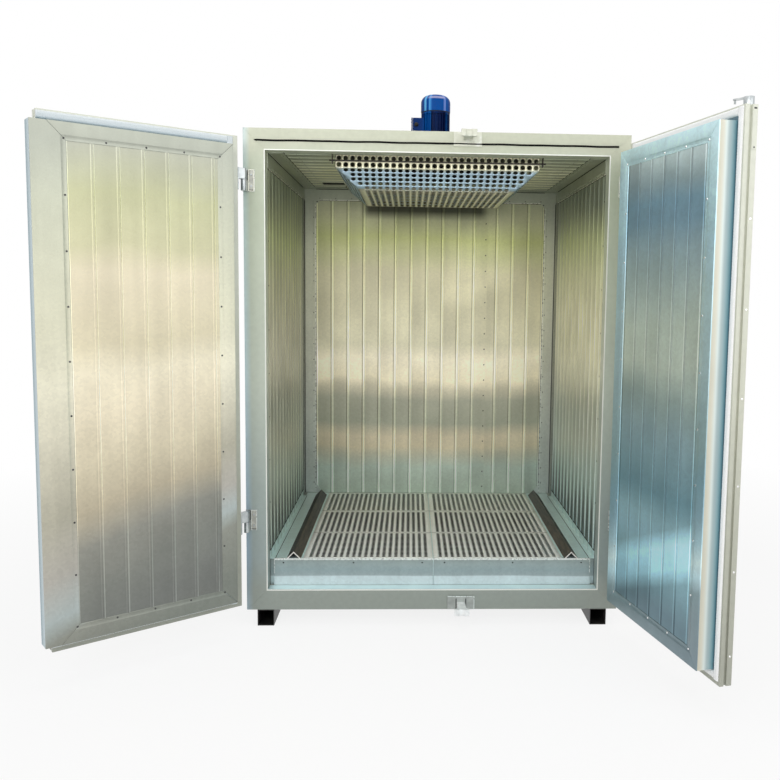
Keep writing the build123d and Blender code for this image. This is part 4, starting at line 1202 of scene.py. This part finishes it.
border("left", *LEFT_FACE, BORDER_LAP, left_trim, left_at)
border("right", *RIGHT_PLUG, 0, right_trim, right_at)


def border_screws(name, x0, x1, finish, at):
    """Screws along a border's inner hem: ten up each side and three between along top and foot."""
    bm = bmesh.new()
    z0, z1 = PLUG_Z[0] + BORDER - SCREW_EDGE, PLUG_Z[1] - BORDER + SCREW_EDGE
    ups = [z0 + (z1 - z0) * i / 9 for i in range(10)]
    xs = [x0 + BORDER - SCREW_EDGE, x1 - BORDER + SCREW_EDGE]
    points = [(x, PLUG_FACE - 1.4, z) for x in xs for z in ups]
    inner = [xs[0] + (xs[1] - xs[0]) * i / 4 for i in (1, 2, 3)]
    points += [(x, PLUG_FACE - 1.4, z) for x in inner for z in (z0, z1)]
    heads(bm, points, (0, 1, 0), 4.5, 1.3)
    piece(name + "_door_screws", bm, name + "_door", finish, at=at)


border_screws("left", *LEFT_FACE, zinc_in_painted_shade, left_at)
# The right door's screws are painted bright as a highlight, where the left door's and the chamber's are
# painted in shade.
bright_screw = mottled("bright screw heads", 1.0, 0.15, 60, (0.88,) * 3, (0.96,) * 3)[0]
border_screws("right", *RIGHT_PLUG, bright_screw, right_at)

# Rod cover: a slotted strip on the top end of the right leaf's free edge, outside its groove.
# It is coated with the leaf, screwed at its rounded lower end, and more screws follow down the edge.
COVER_L = 165
COVER_Y = (-65, -44.5)
COVER_T = 1.8
free_x = RIGHT_FREE_X
top = LEAF_Z[1] - 1
foot = top - COVER_L
mid_y = sum(COVER_Y) / 2
cover_r = (COVER_Y[1] - COVER_Y[0]) / 2
outline = [(COVER_Y[0], top), (COVER_Y[0], foot + cover_r)]
for degrees in range(20, 161, 20):
    angle = math.radians(degrees)
    outline.append((mid_y - cover_r * math.cos(angle), foot + cover_r - cover_r * 0.5 * math.sin(angle)))
outline += [(COVER_Y[1], foot + cover_r), (COVER_Y[1], top)]
bm = bmesh.new()
prism(bm, outline, 0, free_x - COVER_T, free_x)
piece("right_door_cover", bm, "right_door", leaf_coat, bevel=0.5, at=right_at)
# The cover's slot is a dark slab of painted shade.
bm = bmesh.new()
slab(bm, (free_x - COVER_T - 0.3, free_x - 0.2), (mid_y - 6, mid_y + 6), (top - 16, top - 10))
heads(bm, [(free_x - COVER_T + 0.1, mid_y, foot + 14)], (-1, 0, 0), 3.5, 1)
piece("right_door_cover_marks", bm, "right_door", zinc_in_painted_shade, at=right_at)
bm = bmesh.new()
heads(bm, [(free_x + 0.1, mid_y, z) for z in spaced(250, 1900, 330)], (-1, 0, 0), 4.5, 1.4)
piece("right_door_edge_screws", bm, "right_door", bright_screw, at=right_at)

# Door gaskets: flat braided glass cord on the lip round each plug, white, and on the left door painted greyer
# as shade.
# The left door has none on its free side, where the right door's lip closes on it.
GASKET_W = 30
TOP_CHANNEL = 16
SIDE_CHANNEL = 4
GASKET_T = 6
BRAID = 11


def braided(name, hollow, crown):
    """Braided glass cord: hollow is the tone between the plaits, darker as painted shade, crown the tone on
    them.
    """
    mat, shader, place = finish_of(name, 0.0, 0.9, Sheen_Weight=0.3)
    weave = node(mat, "TexVoronoi", {"Vector": place, "Scale": 240.0}).outputs["Distance"]
    colour(mat, shader, ramp(mat, weave, [(0.0, hollow), (0.5, crown)]))
    bump(mat, shader, weave, 0.5)
    return mat


def braid(bm, axis, across, start, stop):
    """A flat braid along axis, its edges scalloped by the plaits."""
    steps = int((stop - start) / (BRAID / 3))
    rows = []
    for i in range(steps + 1):
        along = start + (stop - start) * i / steps
        beat = math.cos(math.tau * along / BRAID)
        row = []
        for j in range(7):
            share = j / 6 * 2 - 1
            wide = GASKET_W / 2 * (0.94 + 0.06 * (beat if share > 0 else -beat))
            plait = 0.93 + 0.07 * math.cos(math.tau * (along / BRAID + share))
            lift = LEAF_Y[1] + GASKET_T * (1 - 0.75 * share ** 6) * plait
            spot = across + share * wide
            point = (spot, lift, along) if axis == 2 else (along, lift, spot)
            row.append(bm.verts.new(Vector(point) * MM))
        for j in (6, 0):
            spot = across + (j / 6 * 2 - 1) * GASKET_W / 2 * 0.94
            point = (spot, LEAF_Y[1], along) if axis == 2 else (along, LEAF_Y[1], spot)
            row.append(bm.verts.new(Vector(point) * MM))
        rows.append(row)
    for near, far in zip(rows, rows[1:]):
        for j in range(9):
            k = (j + 1) % 9
            bm.faces.new((near[j], near[k], far[k], far[j]))
    bm.faces.new(rows[0])
    bm.faces.new(rows[-1])


def gasket(name, x0, x1, free_side, at, cord):
    """The braids round one plug, and a dark strip of painted shade in the channel between them and the plug.
    """
    bm = bmesh.new()
    glue = bmesh.new()
    out = SIDE_CHANNEL + GASKET_W / 2
    z0, z1 = PLUG_Z[0] - out, PLUG_Z[1] + TOP_CHANNEL + GASKET_W / 2
    hinge_side = 1 if name == "right" else -1
    braid(bm, 2, x1 + out if name == "right" else x0 - out, z0 - 15, z1 + 15)
    if free_side:
        braid(bm, 2, x0 - out, z0 - 15, z1 + 15)
    reach = (x0 - SIDE_CHANNEL, x1 + SIDE_CHANNEL) if free_side else (x0 - SIDE_CHANNEL, x1)
    braid(bm, 0, z0, *reach)
    braid(bm, 0, z1, *reach)
    level = (LEAF_Y[1], LEAF_Y[1] + 0.4)
    slab(glue, reach, level, (PLUG_Z[1], PLUG_Z[1] + TOP_CHANNEL))
    slab(glue, reach, level, (PLUG_Z[0] - SIDE_CHANNEL, PLUG_Z[0]))
    for edge, way in ((x0, -1), (x1, 1)):
        if free_side or way == hinge_side:
            slab(glue, sorted((edge, edge + way * SIDE_CHANNEL)), level, PLUG_Z)
    piece(name + "_door_channel", glue, name + "_door", channel_painted_shade, at=at)
    piece(name + "_door_braid", bm, name + "_door", cord,
          [name + "_door_gasket"], smooth=50, at=at)


channel_painted_shade = mottled("painted shade in the gasket channel", 0.0, 0.7, 25, (0.10, 0.17, 0.21), (0.17, 0.26, 0.31), 3)[0]
cord_in_painted_shade = braided("braided glass in painted shade", (0.62, 0.67, 0.69), (0.74, 0.79, 0.81))
gasket("left", *LEFT_PLUG, False, left_at, cord_in_painted_shade)
white_cord = braided("white braided glass", (0.88, 0.91, 0.92), (1.0, 1.0, 1.0))
gasket("right", *RIGHT_PLUG, True, right_at, white_cord)

# Hinges: lift-off hinges with cast plates, zinc plated; the door's half drops on the frame's pin.
# Each plate has two hexagon screws.
for name in ("left_frame_hinges", "right_frame_hinges", "left_door_hinges", "right_door_hinges"):
    dress(frame["nodes"][name], zinc, 2, 3, weld=True)
RIM = 3.5
HINGE_X = (847, 876)
HINGE_H = 100
HINGE_FACE = -6
rim_y = (HINGE_FACE - RIM, HINGE_FACE + 1)
bm = bmesh.new()
screws = bmesh.new()
recess = bmesh.new()
gaps = bmesh.new()
for side, name in ((-1, "left"), (1, "right")):
    low, high = limits(name + "_frame_hinges")
    x0, x1 = on_side(side, *HINGE_X)
    within_x = (x0 + RIM - 0.5, x1 - RIM + 0.5)
    for foot in (low.z, high.z - HINGE_H):
        z0, z1 = foot + 0.5, foot + HINGE_H - 0.5
        slab(bm, (x0, x0 + RIM), rim_y, (z0, z1))
        slab(bm, (x1 - RIM, x1), rim_y, (z0, z1))
        slab(bm, within_x, rim_y, (z0, z0 + RIM))
        slab(bm, within_x, rim_y, (z1 - RIM, z1))
        for z in (foot + 24, foot + 76):
            round_form(screws, [(5, 0), (5, 3), (4, 4)], ((x0 + x1) / 2, HINGE_FACE, z), (0, -1, 0), 6)
        slab(recess, within_x, (-6.8, -5), (z0 + RIM - 0.5, z1 - RIM + 0.5))
        slab(gaps, on_side(side, HINGE_X[1] + 0.5, HINGE_X[1] + 3.5), (-7.5, -5), (z0 + 3, z1 - 3))
        slab(gaps, (x0 + RIM + 1, x1 - RIM - 1), (-7.4, -6.5), (z0 + RIM, z0 + RIM + 4))
# On the hinge plates the rims are a painted highlight, and the darker recesses and dark gaps are painted
# shade.
piece("hinge_rims", bm, "cabinet", painted_highlight_sheet, bevel=1)
hinge_recess_painted_shade = mottled("hinge recess in painted shade", 0.4, 0.45, 70, (0.38, 0.38, 0.34), (0.60, 0.60, 0.54), 4)[0]
piece("hinge_recesses", recess, "cabinet", hinge_recess_painted_shade)
piece("hinge_gaps", gaps, "cabinet", black_and_painted_shade)
piece("hinge_screws", screws, "cabinet", zinc, bevel=0.3)

# Lock: zinc-plated keepers on the frame, and a turning rod on the right door with a claw at each end.
# Two-hole brackets guide the rod, and a flat lever turns it.
sprayed, shader, place = finish_of("zinc under overspray", 0.15, 0.35)
tone = ramp(sprayed, noise(sprayed, place, 30, 4), [
    (0.3, (0.60, 0.61, 0.50)), (0.6, (0.70, 0.71, 0.60)), (0.75, (0.86, 0.87, 0.82))])
colour(sprayed, shader, tone)
bump(sprayed, shader, noise(sprayed, place, 300, 3), 0.08)
dress(frame["nodes"]["top_keeper"], sprayed, 1.2, 2, weld=True)
# The bottom keeper's proud head is painted bright as a highlight; its bright edges and dark gaps are painted
# highlight and shade.
keeper_zinc_painted_highlight, shader, place = finish_of("zinc keeper with a painted highlight on its head", 0.3, 0.32)
out = node(keeper_zinc_painted_highlight, "SeparateXYZ", {"Vector": place}).outputs["Y"]
proud = span(keeper_zinc_painted_highlight, out, -0.0075, -0.0062)
tone = ramp(keeper_zinc_painted_highlight, proud, [(0.0, (0.98, 1.0, 1.0)), (1.0, (0.40, 0.43, 0.41))])
colour(keeper_zinc_painted_highlight, shader, clouded(keeper_zinc_painted_highlight, tone, place, 40, 4, 0.8, 1.1))
dress(frame["nodes"]["bottom_keeper"], keeper_zinc_painted_highlight, 1.2, 2, weld=True)
low, high = limits("bottom_keeper")
bm = bmesh.new()
slab(bm, (low.x, high.x), (-7, -3), (high.z - 4, high.z))
slab(bm, (high.x - 4, high.x), (-7, -3), (low.z, high.z - 4))
piece("keeper_edges", bm, "cabinet", painted_highlight_sheet, bevel=1)
bm = bmesh.new()
for side in (-1, 1):
    neck = (low.x + high.x) / 2 + side * 21.5
    slab(bm, sorted((neck, neck + side * 4)), (-7, -5.5), (low.z + 3, high.z - 12))
piece("keeper_gaps", bm, "cabinet", black_and_painted_shade)
for name in ("lock_brackets", "lock_rod", "top_claw", "bottom_claw", "lock_lever"):
    dress(frame["nodes"][name], zinc, 1.2, 2, weld=True)

# The studio: a plain pale floor, which looks white to the camera and still takes the oven's shadow.
# Soft lamps stand in front and above, with a white background all round.
floor_paint, shader, place = finish_of("studio floor", 0.0, 0.9, Base_Color=(0.9, 0.9, 0.9, 1))
tree = floor_paint.node_tree
glow = node(floor_paint, "Emission", {"Color": (1, 1, 1, 1), "Strength": 1.0})
ray = node(floor_paint, "LightPath")
rays = {0: ray.outputs["Is Camera Ray"], 1: ray.outputs["Is Glossy Ray"]}
seen = node(floor_paint, "Math", rays, operation="MAXIMUM")
away = node(floor_paint, "VectorMath", {0: place}, operation="LENGTH").outputs["Value"]
share = product(floor_paint, seen.outputs["Value"], span(floor_paint, away, 2.2, 5, 0.84, 1.0))
faces = {"Fac": share, 1: shader.outputs["BSDF"], 2: glow.outputs["Emission"]}
shown = node(floor_paint, "MixShader", faces).outputs["Shader"]
tree.links.new(shown, tree.nodes["Material Output"].inputs["Surface"])
bpy.ops.mesh.primitive_plane_add(size=60)
floor = bpy.context.object
floor.name = "studio_floor"
floor.data.materials.append(floor_paint)

world = bpy.data.worlds.new("studio")
bpy.context.scene.world = world
world.use_nodes = True
ray = node(world, "LightPath").outputs
rays = {0: ray["Is Camera Ray"], 1: ray["Is Glossy Ray"]}
seen = node(world, "Math", rays, operation="MAXIMUM").outputs["Value"]
rays = {0: seen, 1: ray["Is Transmission Ray"]}
seen = node(world, "Math", rays, operation="MAXIMUM").outputs["Value"]
backdrop = world.node_tree.nodes["Background"]
backdrop.inputs["Color"].default_value = (1, 1, 1, 1)
world.node_tree.links.new(span(world, seen, 0, 1, 0.5, 1.0), backdrop.inputs["Strength"])


def lamp(name, place, aim, size, power):
    """A rectangular lamp at a place, turned to its aim."""
    light = bpy.data.lights.new(name, "AREA")
    light.shape = "RECTANGLE"
    light.size, light.size_y = size
    light.energy = power
    thing = bpy.data.objects.new(name, light)
    bpy.context.scene.collection.objects.link(thing)
    thing.location = place
    thing.rotation_euler = (Vector(aim) - Vector(place)).to_track_quat("-Z", "Y").to_euler()


lamp("front soft box", (-1.6, -5.2, 3.6), (0, 0.6, 1.2), (4.8, 3.6), 104)
lamp("side soft box", (3.4, -3.6, 2.8), (0, 0.5, 1.2), (3.6, 3.4), 46)
lamp("left strip lamp", (-1.9, -3.2, 2.9), (0, 0.5, 1.8), (0.12, 1.6), 2.5)
lamp("right strip lamp", (1.3, -4.0, 3.2), (0, 0.5, 1.8), (0.10, 1.4), 3)
lamp("top soft box", (0.0, 0.2, 5.2), (0, 0.4, 0), (3.5, 3.5), 55)

# Camera: it stands where the photo was taken from, as worked out from the oven's corners.
# The optical centre lies a little off the picture's middle, as in the photo.
PICTURE = 780
SENSOR = 36
FOCAL = 821.9
CENTRE = (442.37, 367.38)
EYE = (-126.2, -3879.9, 1621.8)
PAN, TILT, ROLL = -0.0401, -0.0918, -0.0128
camera = bpy.data.cameras.new("camera")
camera.lens = FOCAL / PICTURE * SENSOR
camera.sensor_width = SENSOR
camera.shift_x = -(CENTRE[0] - PICTURE / 2) / PICTURE
camera.shift_y = -(PICTURE / 2 - CENTRE[1]) / PICTURE
camera.clip_end = 100
turn = Matrix.Rotation(PAN, 3, "Z") @ Matrix.Rotation(TILT, 3, "X") @ Matrix.Rotation(ROLL, 3, "Y")
stand = bpy.data.objects.new("camera", camera)
bpy.context.scene.collection.objects.link(stand)
right_way, ahead, up = turn.col[0], turn.col[1], turn.col[2]
stand.matrix_world = Matrix((
    (right_way.x, up.x, -ahead.x, EYE[0] * MM), (right_way.y, up.y, -ahead.y, EYE[1] * MM),
    (right_way.z, up.z, -ahead.z, EYE[2] * MM), (0, 0, 0, 1)))
bpy.context.scene.camera = stand
bpy.context.scene.view_settings.view_transform = "Standard"
